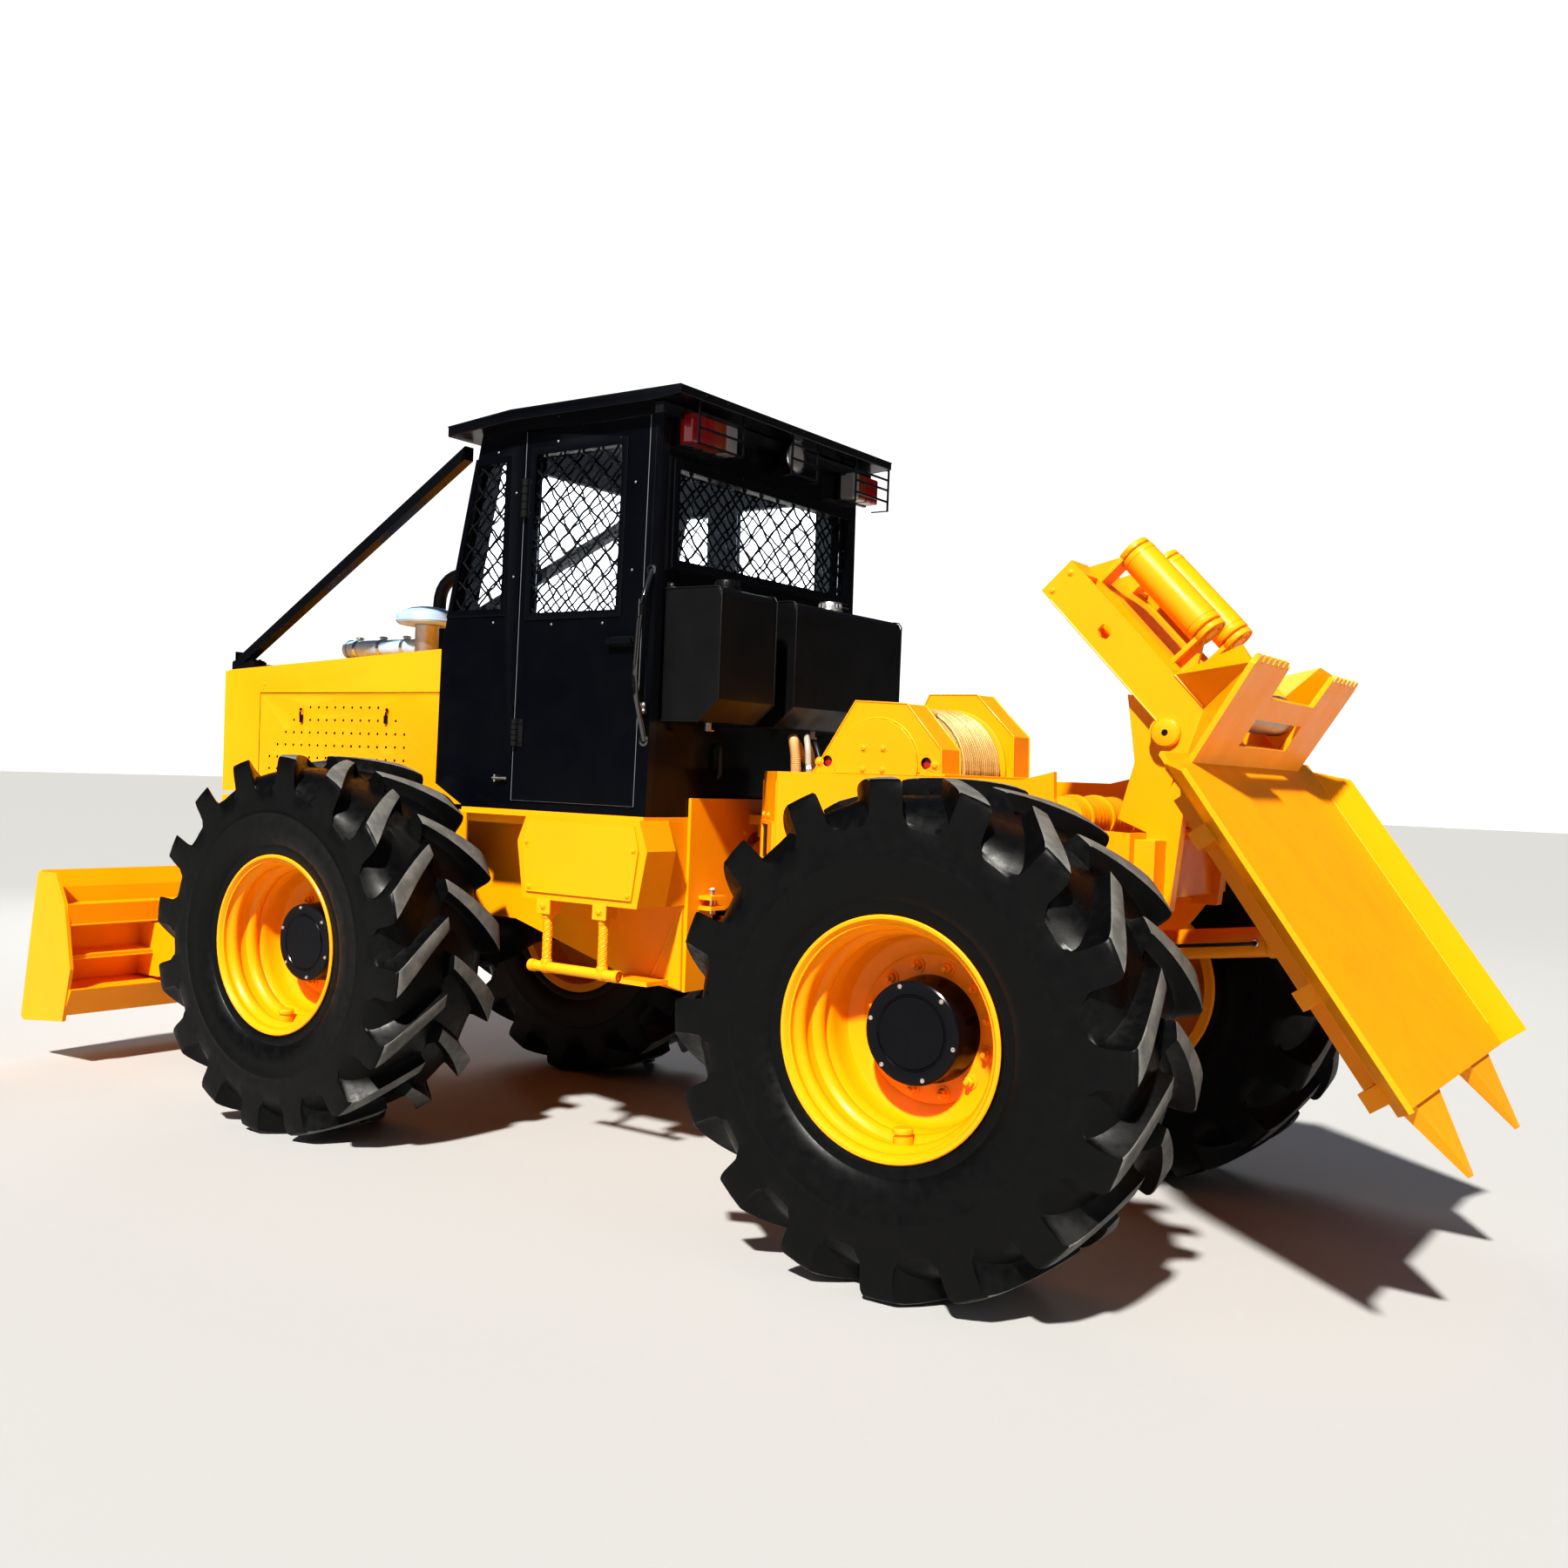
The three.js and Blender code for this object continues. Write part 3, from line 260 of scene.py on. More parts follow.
# Deep red for the bottoms of the winch's foot holes: painted shade inside them.
hole_shade_red = plain("hole_shade_red", (0.42, 0.012, 0.01), 0.4)
plastic = plain("dark_plastic", (0.012, 0.012, 0.013), 0.5)
vinyl = plain("seat_vinyl", (0.016, 0.016, 0.018), 0.45, scale=400, bump=0.4)
hose_beige = plain("hose_sleeve", (0.56, 0.38, 0.17), 0.6)
hose_black = plain("hose_rubber", (0.01, 0.01, 0.01), 0.5)
hose_clear = plain("hose_clear", (0.46, 0.44, 0.38), 0.3, coat=0.4)
lens_red = plain("lamp_red", (0.36, 0.006, 0.008), 0.12, bump=0.03, coat=0.8)
lens_amber = plain("lamp_amber", (0.30, 0.05, 0.006), 0.12, bump=0.03, coat=0.8)
lens_white = plain("lamp_clear", (0.36, 0.37, 0.37), 0.1, bump=0.03, coat=0.8)


def glass_look():
    look = Look("window_glass", (0.95, 0.975, 1.0), 0.02, ior=1.45)
    look.set("Transmission Weight", 1.0)
    look.bump(look.noise(3, 2), 0.02, 0.002)
    return look.mat


glass = glass_look()


# ------------------------------------------------------------------ mesh building
SHARP = math.radians(34)


class Part:
    """Collects vertices and faces, then becomes one object."""

    def __init__(self):
        self.verts, self.faces, self.marks = [], [], []

    def mesh(self, verts, faces, mark=0):
        base = len(self.verts)
        self.verts.extend(Vector(v) for v in verts)
        self.faces.extend(tuple(base + i for i in f) for f in faces)
        self.marks.extend([mark] * len(faces))
        return self

    def loft(self, rings, mark=0, caps=True, closed_path=False):
        n = len(rings[0])
        verts = [v for ring in rings for v in ring]
        faces = []
        count = len(rings)
        for i in range(count if closed_path else count - 1):
            j = (i + 1) % count
            for k in range(n):
                m = (k + 1) % n
                faces.append((i * n + k, i * n + m, j * n + m, j * n + k))
        if caps and not closed_path:
            faces.append(tuple(range(n - 1, -1, -1)))
            faces.append(tuple((count - 1) * n + k for k in range(n)))
        return self.mesh(verts, faces, mark)

    def tube(self, path, radius, sides=8, mark=0, caps=True, closed=False):
        path = [Vector(p) for p in path]
        radii = radius if isinstance(radius, (list, tuple)) else [radius] * len(path)
        rings, normal = [], None
        count = len(path)
        for i, p in enumerate(path):
            before = path[i - 1] if (i or closed) else p
            after = path[(i + 1) % count] if (i + 1 < count or closed) else p
            way = (after - before).normalized()
            if normal is None:
                normal = across(way)
            normal = (normal - way * normal.dot(way)).normalized()
            side = way.cross(normal)
            rings.append([p + (normal * math.cos(turned(k, sides))
                               + side * math.sin(turned(k, sides))) * radii[i]
                          for k in range(sides)])
        return self.loft(rings, mark, caps, closed)

    def lathe(self, profile, origin, axis, sides=48, mark=0, closed=False):
        """profile: [radius, distance along the axis], turned round the axis."""
        axis = Vector(axis).normalized()
        u = across(axis)
        w = axis.cross(u)
        rings = []
        for k in range(sides):
            a = turned(k, sides)
            way = u * math.cos(a) + w * math.sin(a)
            rings.append([Vector(origin) + axis * d + way * r for r, d in profile])
        n = len(profile)
        verts = [v for ring in rings for v in ring]
        faces = []
        for i in range(sides):
            j = (i + 1) % sides
            for k in range(n if closed else n - 1):
                m = (k + 1) % n
                faces.append((i * n + k, j * n + k, j * n + m, i * n + m))
        return self.mesh(verts, faces, mark)

    def box(self, low, high, mark=0):
        (x0, y0, z0), (x1, y1, z1) = low, high
        verts = [(x, y, z) for z in (z0, z1)
                 for x, y in ((x0, y0), (x1, y0), (x1, y1), (x0, y1))]
        return self.mesh(verts, [(3, 2, 1, 0), (4, 5, 6, 7), (0, 1, 5, 4), (1, 2, 6, 5),
                                 (2, 3, 7, 6), (3, 0, 4, 7)], mark)

    def slab(self, x0, x1, y0, y1, z0, z1, side=1, mark=0):
        """An upright block between places in millimetres, on one side or the other."""
        low_y, high_y = sorted((side * y0, side * y1))
        return self.box(at(x0, low_y, z0), at(x1, high_y, z1), mark)

    def bolt_ring(self, centre, arm, other_arm, count, normal, radius, height, start=0.0,
                  mark=0):
        """Bolts in a ring round a centre, spanned by two arms at right angles."""
        for k in range(count):
            a = turned(k + start, count)
            self.bolt(centre + Vector(arm) * math.cos(a) + Vector(other_arm) * math.sin(a),
                      normal, radius, height, mark=mark)

    def bolt(self, place, normal, radius=0.011, height=0.008, sides=6, mark=0, washer=1.5):
        """Hexagon head on a round washer, with a domed top."""
        profile = [(TIP, height * 1.1), (radius * 0.75, height), (radius, height * 0.8),
                   (radius, height * 0.25)]
        self.lathe(profile, place, normal, sides, mark)
        if washer:
            self.lathe([(radius * 0.9, height * 0.28), (radius * washer, height * 0.25),
                        (radius * washer, -0.001)], place, normal, 14, mark)
        return self

    def dome(self, place, normal, radius, height, sides=10, mark=0):
        profile = [(TIP, height), (radius * 0.6, height * 0.8), (radius, height * 0.25),
                   (radius, -0.001)]
        return self.lathe(profile, place, normal, sides, mark)

    def finish(self, name, materials, body=None, slot=None, bevel=0.0, segments=2,
               replaces=(), merge=1e-5, offset=None):
        mesh = bpy.data.meshes.new(name)
        mesh.from_pydata([tuple(v) for v in self.verts], [], self.faces)
        for m in materials:
            mesh.materials.append(m)
        mesh.polygons.foreach_set("material_index", self.marks)
        bm = bmesh.new()
        bm.from_mesh(mesh)
        bmesh.ops.remove_doubles(bm, verts=bm.verts, dist=merge)
        bmesh.ops.recalc_face_normals(bm, faces=bm.faces)
        for face in bm.faces:
            face.smooth = True
        for edge in bm.edges:
            if len(edge.link_faces) != 2 or edge.calc_face_angle(0) > SHARP:
                edge.smooth = False
        bm.to_mesh(mesh)
        bm.free()
        return place_mesh(mesh, name, body, bevel, segments, replaces, offset)


def place_mesh(mesh, name, body, bevel=0.0, segments=2, replaces=(), offset=None):
    made = bpy.data.objects.new(name, mesh)
    bpy.context.scene.collection.objects.link(made)
    if offset is not None:
        made.matrix_world = offset
    if bevel:
        soften(made, bevel, segments)
    if body:
        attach(made, body)
    for node in replaces:
        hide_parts(node)
    return made


def soften(target, width, segments=2):
    made = target.modifiers.new("edges", "BEVEL")
    made.width = width
    made.segments = segments
    made.limit_method = "ANGLE"
    made.angle_limit = math.radians(35)
    made.use_clamp_overlap = True
    made.harden_normals = True
    return made


# ------------------------------------------------------------------ camera
SIDE = 1800                      # side of the whole picture, in pixels
FOCAL = 1732.81                  # focal length, in the same pixels
CENTRE_X, CENTRE_Y = 795, 935    # where the lens looks straight on, from the top left
photo_eye = at(-2227.2, 5236.4, 1587.4)
AZIMUTH, TILT, ROLL = (math.radians(v) for v in (216.650, 1.607, 2.131))
forward = Vector((-math.sin(AZIMUTH) * math.cos(TILT), math.cos(AZIMUTH) * math.cos(TILT),
                  -math.sin(TILT)))
level_right = forward.cross(Vector((0, 0, 1))).normalized()
level_up = level_right.cross(forward)
right = level_right * math.cos(ROLL) + level_up * math.sin(ROLL)
up = right.cross(forward)
camera = bpy.data.objects.new("camera", bpy.data.cameras.new("camera"))
bpy.context.scene.collection.objects.link(camera)
camera.matrix_world = Matrix.Translation(photo_eye) @ Matrix(
    (right, up, -forward)).transposed().to_4x4()
camera.data.sensor_width = 36
camera.data.lens = 36 * FOCAL / SIDE
camera.data.shift_x = (SIDE / 2 - CENTRE_X) / SIDE
camera.data.shift_y = (CENTRE_Y - SIDE / 2) / SIDE
camera.data.clip_start, camera.data.clip_end = 0.05, 200
bpy.context.scene.camera = camera

# ------------------------------------------------------------------ CAD nodes' finish
CAD_LOOKS = {
    "front_axle": (black_satin, 0.004), "rear_axle": (black_satin, 0.004),
    "engine": (cast_iron, 0.01), "grille": (yellow, 0.002),
    "exhaust": (black_satin, 0.0), "air_cleaner": (cap_metal, 0.002),
    "brush_guard": (black, 0.004), "cab_left": (black, 0.003), "cab_right": (black, 0.003),
    "door_left": (black, 0.003), "door_right": (black, 0.003), "cab_floor": (black_satin, 0.003),
    "cab_rear": (black, 0.003), "cab_front": (black, 0.003), "cab_roof": (black, 0.005),
    "controls": (plastic, 0.003), "tank_left": (black_satin, 0.006),
    "tank_right": (black_satin, 0.006), "rear_lamps": (black, 0.001),
    "winch_drum": (yellow, 0.002), "cross_roller": (steel, 0.004),
    "blade_rod_left": (chrome, 0.0), "blade_rod_right": (chrome, 0.0),
    "steer_rod_left": (chrome, 0.0), "steer_rod_right": (chrome, 0.0),
    "plate_rod": (chrome, 0.0), "seat": (vinyl, 0.01),
}
for node_name, node in nodes.items():
    finish, edge_width = CAD_LOOKS.get(node_name, (yellow, 0.0025))
    node.data.materials.clear()
    node.data.materials.append(finish)
    weld = node.modifiers.new("weld", "WELD")
    weld.merge_threshold = 1e-5
    if edge_width:
        soften(node, edge_width)


# ------------------------------------------------------------------ tyres
LUGS = 16
LUG_START = 0.857                # turn of the first lug, in pitches
FRONT_TURN = -0.14               # how far the front wheels stand turned
PITCH_ANGLE = 2 * math.pi / LUGS
LUG_PLACES = 12                  # places round one lug and its gap
ROW_COUNT = LUG_PLACES * LUGS
CROWN_R = 0.747                  # the gap's floor at the tread's middle
BEAD_R = 0.3508                  # inner radius at the rim
# One row across the tread: [top radius, its distance outwards, floor radius, its distance
# outwards, half width of the lug's top]. The floor is the gap between two lugs.
TREAD = [
    (0.797, 0.0110, 0.7465, 0.0110, 0.034), (0.800, 0.0220, 0.746, 0.0220, 0.036),
    (0.800, 0.0600, 0.745, 0.0600, 0.040), (0.7995, 0.1050, 0.743, 0.1050, 0.045),
    (0.799, 0.1500, 0.739, 0.1500, 0.051), (0.7985, 0.1900, 0.731, 0.1880, 0.058),
    (0.7975, 0.2250, 0.718, 0.2220, 0.063), (0.795, 0.2550, 0.702, 0.2460, 0.067),
    (0.790, 0.2760, 0.686, 0.2620, 0.070), (0.783, 0.2845, 0.675, 0.2700, 0.072),
    (0.770, 0.2880, 0.667, 0.2755, 0.074), (0.745, 0.2893, 0.660, 0.2795, 0.078),
    (0.715, 0.2895, 0.655, 0.2825, 0.080), (0.685, 0.2890, 0.651, 0.2845, 0.086),
    (0.662, 0.2885, 0.648, 0.2862, 0.112),
]
TOP_ROWS = 9                     # rows that the worn tops of the lugs cover
# Below the tread: [radius, distance outwards], down to the bead and round inside.
WALL = [
    (0.645, 0.2880), (0.600, 0.2875), (0.572, 0.2890), (0.562, 0.2885), (0.557, 0.2897),
    (0.551, 0.2897), (0.545, 0.2880), (0.500, 0.2850), (0.452, 0.2790), (0.424, 0.2660),
    (0.420, 0.2620), (0.398, 0.2620), (0.384, 0.2570), (0.352, 0.2460), (BEAD_R, 0.2000),
]


def fall_back(across):
    """How far a lug has fallen back, in radians, at a distance from the tyre's middle."""
    along = (across + 0.014) / 0.300
    return -0.01 + 0.32 * along - 0.02 * math.sin(math.pi * min(1, max(0, along)))


def tread_row(row, phase, side):
    """Twelve places for each lug: across its top, down its walls and over the gap."""
    top, top_y, floor, floor_y, half = row
    ring = []
    for i in range(LUGS):
        centre = (i + phase) * PITCH_ANGLE
        gap_from, gap_to = half + 0.022, PITCH_ANGLE - half - 0.022
        places = [(-half, 0.965), (-half + 0.006, 1), (0, 1), (half - 0.006, 1),
                  (half, 0.965), (half + 0.009, 0.28), (gap_from, 0.07)]
        places += [(gap_from + (gap_to - gap_from) * k / 4, 0) for k in (1, 2, 3)]
        places += [(gap_to, 0.07), (PITCH_ANGLE - half - 0.009, 0.28)]
        for swing, h in places:
            r = floor + (top - floor) * h
            y = floor_y + (top_y - floor_y) * h
            angle = centre + swing - fall_back(top_y)
            ring.append((r * math.sin(angle), side * y, r * math.cos(angle)))
    return ring


def plain_row(radius, y, side, phase, back):
    """A round row with the same count of places as a tread row."""
    start = phase * PITCH_ANGLE - back - TREAD[-1][4]
    return [(radius * math.sin(start + turned(k, ROW_COUNT)), side * y,
             radius * math.cos(start + turned(k, ROW_COUNT))) for k in range(ROW_COUNT)]


def tyre_part():
    """Both halves of a tyre, each from the tread's middle round to the bead."""
    part = Part()
    for side, phase in ((1, LUG_START), (-1, LUG_START + 0.5)):
        rows = [plain_row(CROWN_R, y, side, phase, fall_back(0)) for y in (0.0, 0.004)]
        rows += [tread_row(row, phase, side) for row in TREAD]
        rows += [plain_row(r, y, side, phase, fall_back(0.285)) for r, y in WALL]
        rows.append(plain_row(BEAD_R, 0.0, side, phase, fall_back(0.285)))
        verts = [v for ring in rows for v in ring]
        faces, marks = [], []
        for i in range(len(rows) - 1):
            here, there = i * ROW_COUNT, (i + 1) * ROW_COUNT
            for k in range(ROW_COUNT):
                m = (k + 1) % ROW_COUNT
                faces.append((here + k, here + m, there + m, there + k))
                on_top = 2 <= i < 1 + TOP_ROWS and k % LUG_PLACES < 4
                marks.append(1 if on_top else 0)
        part.mesh(verts, faces)
        part.marks[-len(marks):] = marks
    return part


# The rim's half section, outer side up: [radius, distance outwards].
RIM = [
    (0.338, -0.262), (0.372, -0.266), (0.379, -0.262), (0.379, -0.256), (0.350, -0.250),
    (0.3495, 0.250), (0.378, 0.256), (0.379, 0.262), (0.375, 0.266), (0.366, 0.2655),
    (0.358, 0.2560), (0.352, 0.2450), (0.349, 0.232), (0.340, 0.222), (0.332, 0.214),
    (0.328, 0.204), (0.328, 0.194), (0.332, 0.184), (0.338, 0.176), (0.337, 0.160),
    (0.333, 0.146), (0.322, 0.140), (0.313, 0.130), (0.309, 0.120), (0.309, 0.108),
    (0.313, 0.098), (0.319, 0.088), (0.308, 0.074),
    (0.304, 0.050), (0.303, 0.010), (0.292, -0.008), (0.272, -0.016), (0.246, -0.022),
    (0.238, -0.028), (0.165, -0.030), (0.165, -0.060), (0.290, -0.060), (0.318, -0.075),
    (0.326, -0.150), (0.330, -0.240),
]
HUB = [
    (TIP, 0.1000), (0.112, 0.1000), (0.115, 0.0965), (0.119, 0.0965), (0.122, 0.0995),
    (0.158, 0.0995), (0.163, 0.0960), (0.165, 0.0900), (0.165, 0.0300), (0.169, 0.0140),
    (0.173, -0.0300),
]


def rim_part():
    part = Part()
    part.lathe(RIM, (0, 0, 0), (0, 1, 0), 96, closed=True)
    part.lathe(HUB, (0, 0, 0), (0, 1, 0), 72, mark=1)
    for i in range(12):
        a = turned(i + 0.5, 12)
        spot = Vector((0.2065 * math.sin(a), -0.030, 0.2065 * math.cos(a)))
        part.bolt(spot, (0, 1, 0), 0.0175, 0.022, washer=1.4)
        part.lathe([(TIP, 0.038), (0.007, 0.037), (0.0085, 0.035), (0.0085, 0.01)], spot,
                   (0, 1, 0), 10)
    for i in range(6):
        a = turned(i + 0.3, 6)
        part.bolt(Vector((0.149 * math.sin(a), 0.0995, 0.149 * math.cos(a))), (0, 1, 0),
                  0.0058, 0.007, mark=2, washer=1.3)
    # Valve guard: a short stub with a round cap, welded low in the dish.
    a = math.radians(184)
    out = Vector((math.sin(a), 0, math.cos(a)))
    foot = out * 0.336 + Vector((0, 0.165, 0))
    part.lathe([(TIP, 0.056), (0.028, 0.055), (0.0325, 0.050), (0.0325, 0.038),
                (0.027, 0.034), (0.024, 0.029), (0.031, 0.027), (0.031, -0.004)], foot,
               -out, 28)
    return part


tyre_mesh = rim_mesh = None
for place, x, side in (("front_left", FRONT_X, 1), ("front_right", FRONT_X, -1),
                       ("rear_left", AXLE_X, 1), ("rear_right", AXLE_X, -1)):
    body = "wheel_" + place
    spot = Matrix.Translation((x, side * WHEEL_Y, AXLE_Z))
    roll = spot @ Matrix.Rotation(FRONT_TURN if x == FRONT_X else 0, 4, "Y")
    faced = roll @ Matrix.Rotation(0 if side > 0 else math.pi, 4, "Z")
    if tyre_mesh is None:
        tyre = tyre_part().finish("tyre_dressed_" + place, [tyre_side, tyre_top], body,
                                  "tyre", replaces=["tyre_" + place], offset=roll)
        rim = rim_part().finish("rim_dressed_" + place, [yellow, black, zinc], body,
                                "yellow_paint", replaces=["rim_" + place], offset=faced)
        tyre_mesh, rim_mesh = tyre.data, rim.data
    else:
        place_mesh(tyre_mesh, "tyre_dressed_" + place, body,
                   replaces=["tyre_" + place], offset=roll)
        place_mesh(rim_mesh, "rim_dressed_" + place, body,
                   replaces=["rim_" + place], offset=faced)

# ------------------------------------------------------------------ cab
CAB_Y, LEAN, DECK_Z = 742, 0.018, 1385


def wall(x, z, out=0.0, side=1):
    """A place on the cab's side wall, which leans inwards; out is off its outer face."""
    return at(x, side * (CAB_Y - LEAN * (z - DECK_Z) + out), z)


def windscreen_x(z):
    return 2487 - (z - 2078) * 166 / 769


def sheet_between(part, place, corners, near, far, mark=0):
    """A thin slab: its corners put through place(a, b, out) at two depths."""
    front = [place(a, b, near) for a, b in corners]
    back = [place(a, b, far) for a, b in corners]
    n = len(corners)
    part.mesh(front + back, [tuple(range(n)), tuple(range(2 * n - 1, n - 1, -1))]
              + [(k, k + n, (k + 1) % n + n, (k + 1) % n) for k in range(n)], mark)


def frame_between(part, place, outer, hole, near, far, mark=0):
    """A flat frame of four strips between an outline and the opening in it."""
    for k in range(4):
        m = (k + 1) % 4
        sheet_between(part, place, [outer[k], outer[m], hole[m], hole[k]], near, far, mark)


def clip_line(corners, point, way):
    """The stretch of a line inside a convex outline, as two distances, or None."""
    first, last = -1e9, 1e9
    n = len(corners)
    turn = sum(corners[k][0] * corners[(k + 1) % n][1] - corners[(k + 1) % n][0] * corners[k][1]
               for k in range(n))
    sign = 1 if turn > 0 else -1
    for k in range(n):
        (ax, ay), (bx, by) = corners[k], corners[(k + 1) % n]
        nx, ny = -(by - ay) * sign, (bx - ax) * sign
        speed = nx * way[0] + ny * way[1]
        room = nx * (point[0] - ax) + ny * (point[1] - ay)
        if abs(speed) < 1e-9:
            if room < 0:
                return None
        elif speed > 0:
            first = max(first, -room / speed)
        else:
            last = min(last, -room / speed)
    return (first, last) if last - first > 12 else None


def wire_guard(part, place, corners, wide, tall, depth, radius=0.0046, mark=0):
    """Crimped wire woven in diamonds over a window."""
    xs, ys = [c[0] for c in corners], [c[1] for c in corners]
    length = math.hypot(wide, tall)
    for lean in (1, -1):
        way = (wide / length, lean * tall / length)
        count = int((max(xs) - min(xs)) / wide + (max(ys) - min(ys)) / tall) + 2
        for i in range(-count, count + 1):
            start = (min(xs) + i * wide + 0.3 * wide, min(ys) if lean > 0 else max(ys))
            span = clip_line(corners, start, way)
            if not span:
                continue
            points = []
            steps = max(4, int((span[1] - span[0]) / 11))
            for k in range(steps + 1):
                d = span[0] + (span[1] - span[0]) * k / steps
                wave = math.sin(math.pi * (d / (length / 2)) + (0 if lean > 0 else math.pi))
                ripple = 2.0 * math.sin(2 * math.pi * d / (length / 2) + i)
                a = start[0] + way[0] * d - way[1] * ripple
                b = start[1] + way[1] * d + way[0] * ripple
                points.append(place(a, b, depth + 3.0 * wave))
            part.tube(points, radius, 5, mark)


def oblong(a0, b0, a1, b1):
    """The four corners of an upright rectangle, from the first one round."""
    return [(a0, b0), (a1, b0), (a1, b1), (a0, b1)]


DOOR_WINDOW = oblong(1533, 2206, 1983, 2843)
QUARTER = [(2147, 2228), (2430, 2228), (2305, 2828), (2150, 2828)]
REAR_WINDOW = oblong(-620, 2400, 620, 2745)
SCREEN = oblong(-600, 2130, 600, 2860)


def side_place(side):
    return lambda a, b, out: wall(a, b, out, side)


def rear_place(a, b, out):
    return at(1340 - out, a, b)


def screen_place(a, b, out):
    return at(windscreen_x(b) + out, a, b)


cab_glass, cab_guard = Part(), Part()
for side in (1, -1):
    sheet_between(cab_glass, side_place(side), QUARTER, -28, -23)
    wire_guard(cab_guard, side_place(side), QUARTER, 98, 95, -9)
sheet_between(cab_glass, rear_place, REAR_WINDOW, -28, -23)
wire_guard(cab_guard, rear_place, REAR_WINDOW, 122, 108, -6)
sheet_between(cab_glass, screen_place, SCREEN, -28, -23)
wire_guard(cab_guard, screen_place, SCREEN, 110, 105, -9)
cab_glass.finish("cab_glass", [glass], "front_chassis", "dark_plastic")
cab_guard.finish("cab_window_guards", [black], "front_chassis", "black_paint")

DOOR_BOLTS = [(1874, 2889), (1548, 2868), (1465, 2692), (1463, 2355), (1600, 2155),
              (1867, 2157)]
QUARTER_BOLTS = [(2203, 2875), (2088, 2358), (2190, 2173), (2092, 2700)]
for place, side in SIDES:
    body = f"door_{place}_leaf"
    out_way = Vector((0, side, LEAN)).normalized()
    panes, guard, trim = Part(), Part(), Part()
    sheet_between(panes, side_place(side), DOOR_WINDOW, -28, -23)
    panes.finish(f"door_glass_{place}", [glass], body, "dark_plastic")
    wire_guard(guard, side_place(side), DOOR_WINDOW, 100, 93, -9)
    guard.finish(f"door_guard_{place}", [black], body, "black_paint")
    for x, z in DOOR_BOLTS:
        trim.bolt(wall(x, z, 0, side), out_way, 0.0042, 0.003, mark=1, washer=1.3)
    # Recessed pull: a dark plate with a key barrel and a paddle at its rear end.
    sheet_between(trim, side_place(side), oblong(1436, 2062, 1548, 2100), 0.5, 4, 2)
    trim.tube([wall(1447, 2081, 3, side), wall(1447, 2081, 22, side)], 0.009, 12, 2)
    trim.tube([wall(1441, 2083, 24, side), wall(1458, 2086, 27, side),
               wall(1482, 2085, 24, side)], [0.0075, 0.0070, 0.0050], 10, 1)
    # Hinges: two leaves with bolts and a barrel of five knuckles.
    for low, high in ((1666, 1777), (2594, 2751)):
        knuckle = (high - low) / 5
        for i in range(5):
            trim.tube([wall(2032, low + i * knuckle + 2, 10, side),
                       wall(2032, low + (i + 1) * knuckle - 2, 10, side)], 0.0152, 14, 2)
        sheet_between(trim, side_place(side), oblong(1992, low, 2026, high), 0.3, 6, 2)
        for z in (low + 16, high - 16):
            trim.bolt(wall(2004, z, 6, side), out_way, 0.006, 0.004, mark=2)
    trim.finish(f"door_fittings_{place}", [black, steel, black_satin], body, "black_paint")
    # A seam down the door's two sides and along its foot, painted light grey as the highlight on
    # its edge.
    seam = Part()
    edge = [(1402, 2942), (1402, 1446), (2044, 1446), (2044, 2942)]
    seam.tube([wall(x, z, 0.3, side) for x, z in edge], 0.0017, 6)
    seam.finish(f"door_seam_highlight_{place}", [seam_highlight_grey], body, "black_paint")

trim = Part()
for side in (1, -1):
    out_way = Vector((0, side, LEAN)).normalized()
    for x, z in QUARTER_BOLTS:
        trim.bolt(wall(x, z, 0, side), out_way, 0.0042, 0.003, mark=1, washer=1.3)
    # Frame strip round the quarter window.
    strip = [(2122, 2200), (2460, 2200), (2325, 2856), (2126, 2856)]
    frame_between(trim, side_place(side), strip, QUARTER, 0.4, 6)
    # Door check: a bracket with a turned pin ahead of the sill.
    trim.box(tuple(wall(2092, 1520, 0.5, side)), tuple(wall(2116, 1546, 18, side)), 2)
    trim.tube([wall(2062, 1533, 14, side), wall(2140, 1533, 14, side)], 0.0065, 10, 1)
    trim.tube([wall(2128, 1518, 14, side), wall(2128, 1548, 14, side)], 0.0055, 8, 1)
    # Sill catch at the rear post.
    trim.box(tuple(wall(1352, 1800, 0.5, side)), tuple(wall(1384, 1846, 14, side)), 2)
    trim.bolt(wall(1368, 1812, 14, side), out_way, 0.008, 0.006, mark=1)
    trim.bolt(wall(1368, 1834, 14, side), out_way, 0.008, 0.006, mark=1)
    # Long seam of the rear post.
    trim.tube([wall(1372, 1700, 0.2, side), wall(1372, 2900, 0.2, side)], 0.0022, 6, 2)
for y in (632, 486, 27, -54, -495, -644):
    trim.dome(at(1206, y, 3008), (-1, 0, 0), 0.0045, 0.003, 10, 2)
trim.dome(at(1290, 700, 3021.5), (0, 0, 1), 0.010, 0.004, 12)
# Frame of the rear window: a raised rim with bolts above and below.
REAR_FRAME = oblong(-655, 2368, 655, 2778)
frame_between(trim, rear_place, REAR_FRAME, REAR_WINDOW, 10.2, 17)
for y in (-560, -200, 200, 560):
    for z in (2360, 2784):
        trim.bolt(at(1330, y, z), (-1, 0, 0), 0.005, 0.004, mark=2)
trim.finish("cab_trim", [black, steel, black_satin], "front_chassis", "black_paint",
            bevel=0.0012)

# Roof: a turned-down drip edge with a thin bead along its top.
roof = Part()
for side in (1, -1):
    roof.tube([at(1206, side * 791, 3019), at(2069, side * 791, 3019),
               at(2426, side * 791, 2988)], 0.0028, 6)
roof.tube([at(1208, -790, 3019), at(1208, 790, 3019)], 0.0028, 6)
for x in (1500, 1780, 2060):
    roof.slab(x - 14, x + 14, -780, 780, 3021, 3021.8)
roof.finish("roof_edge", [black], "front_chassis", "black_paint")

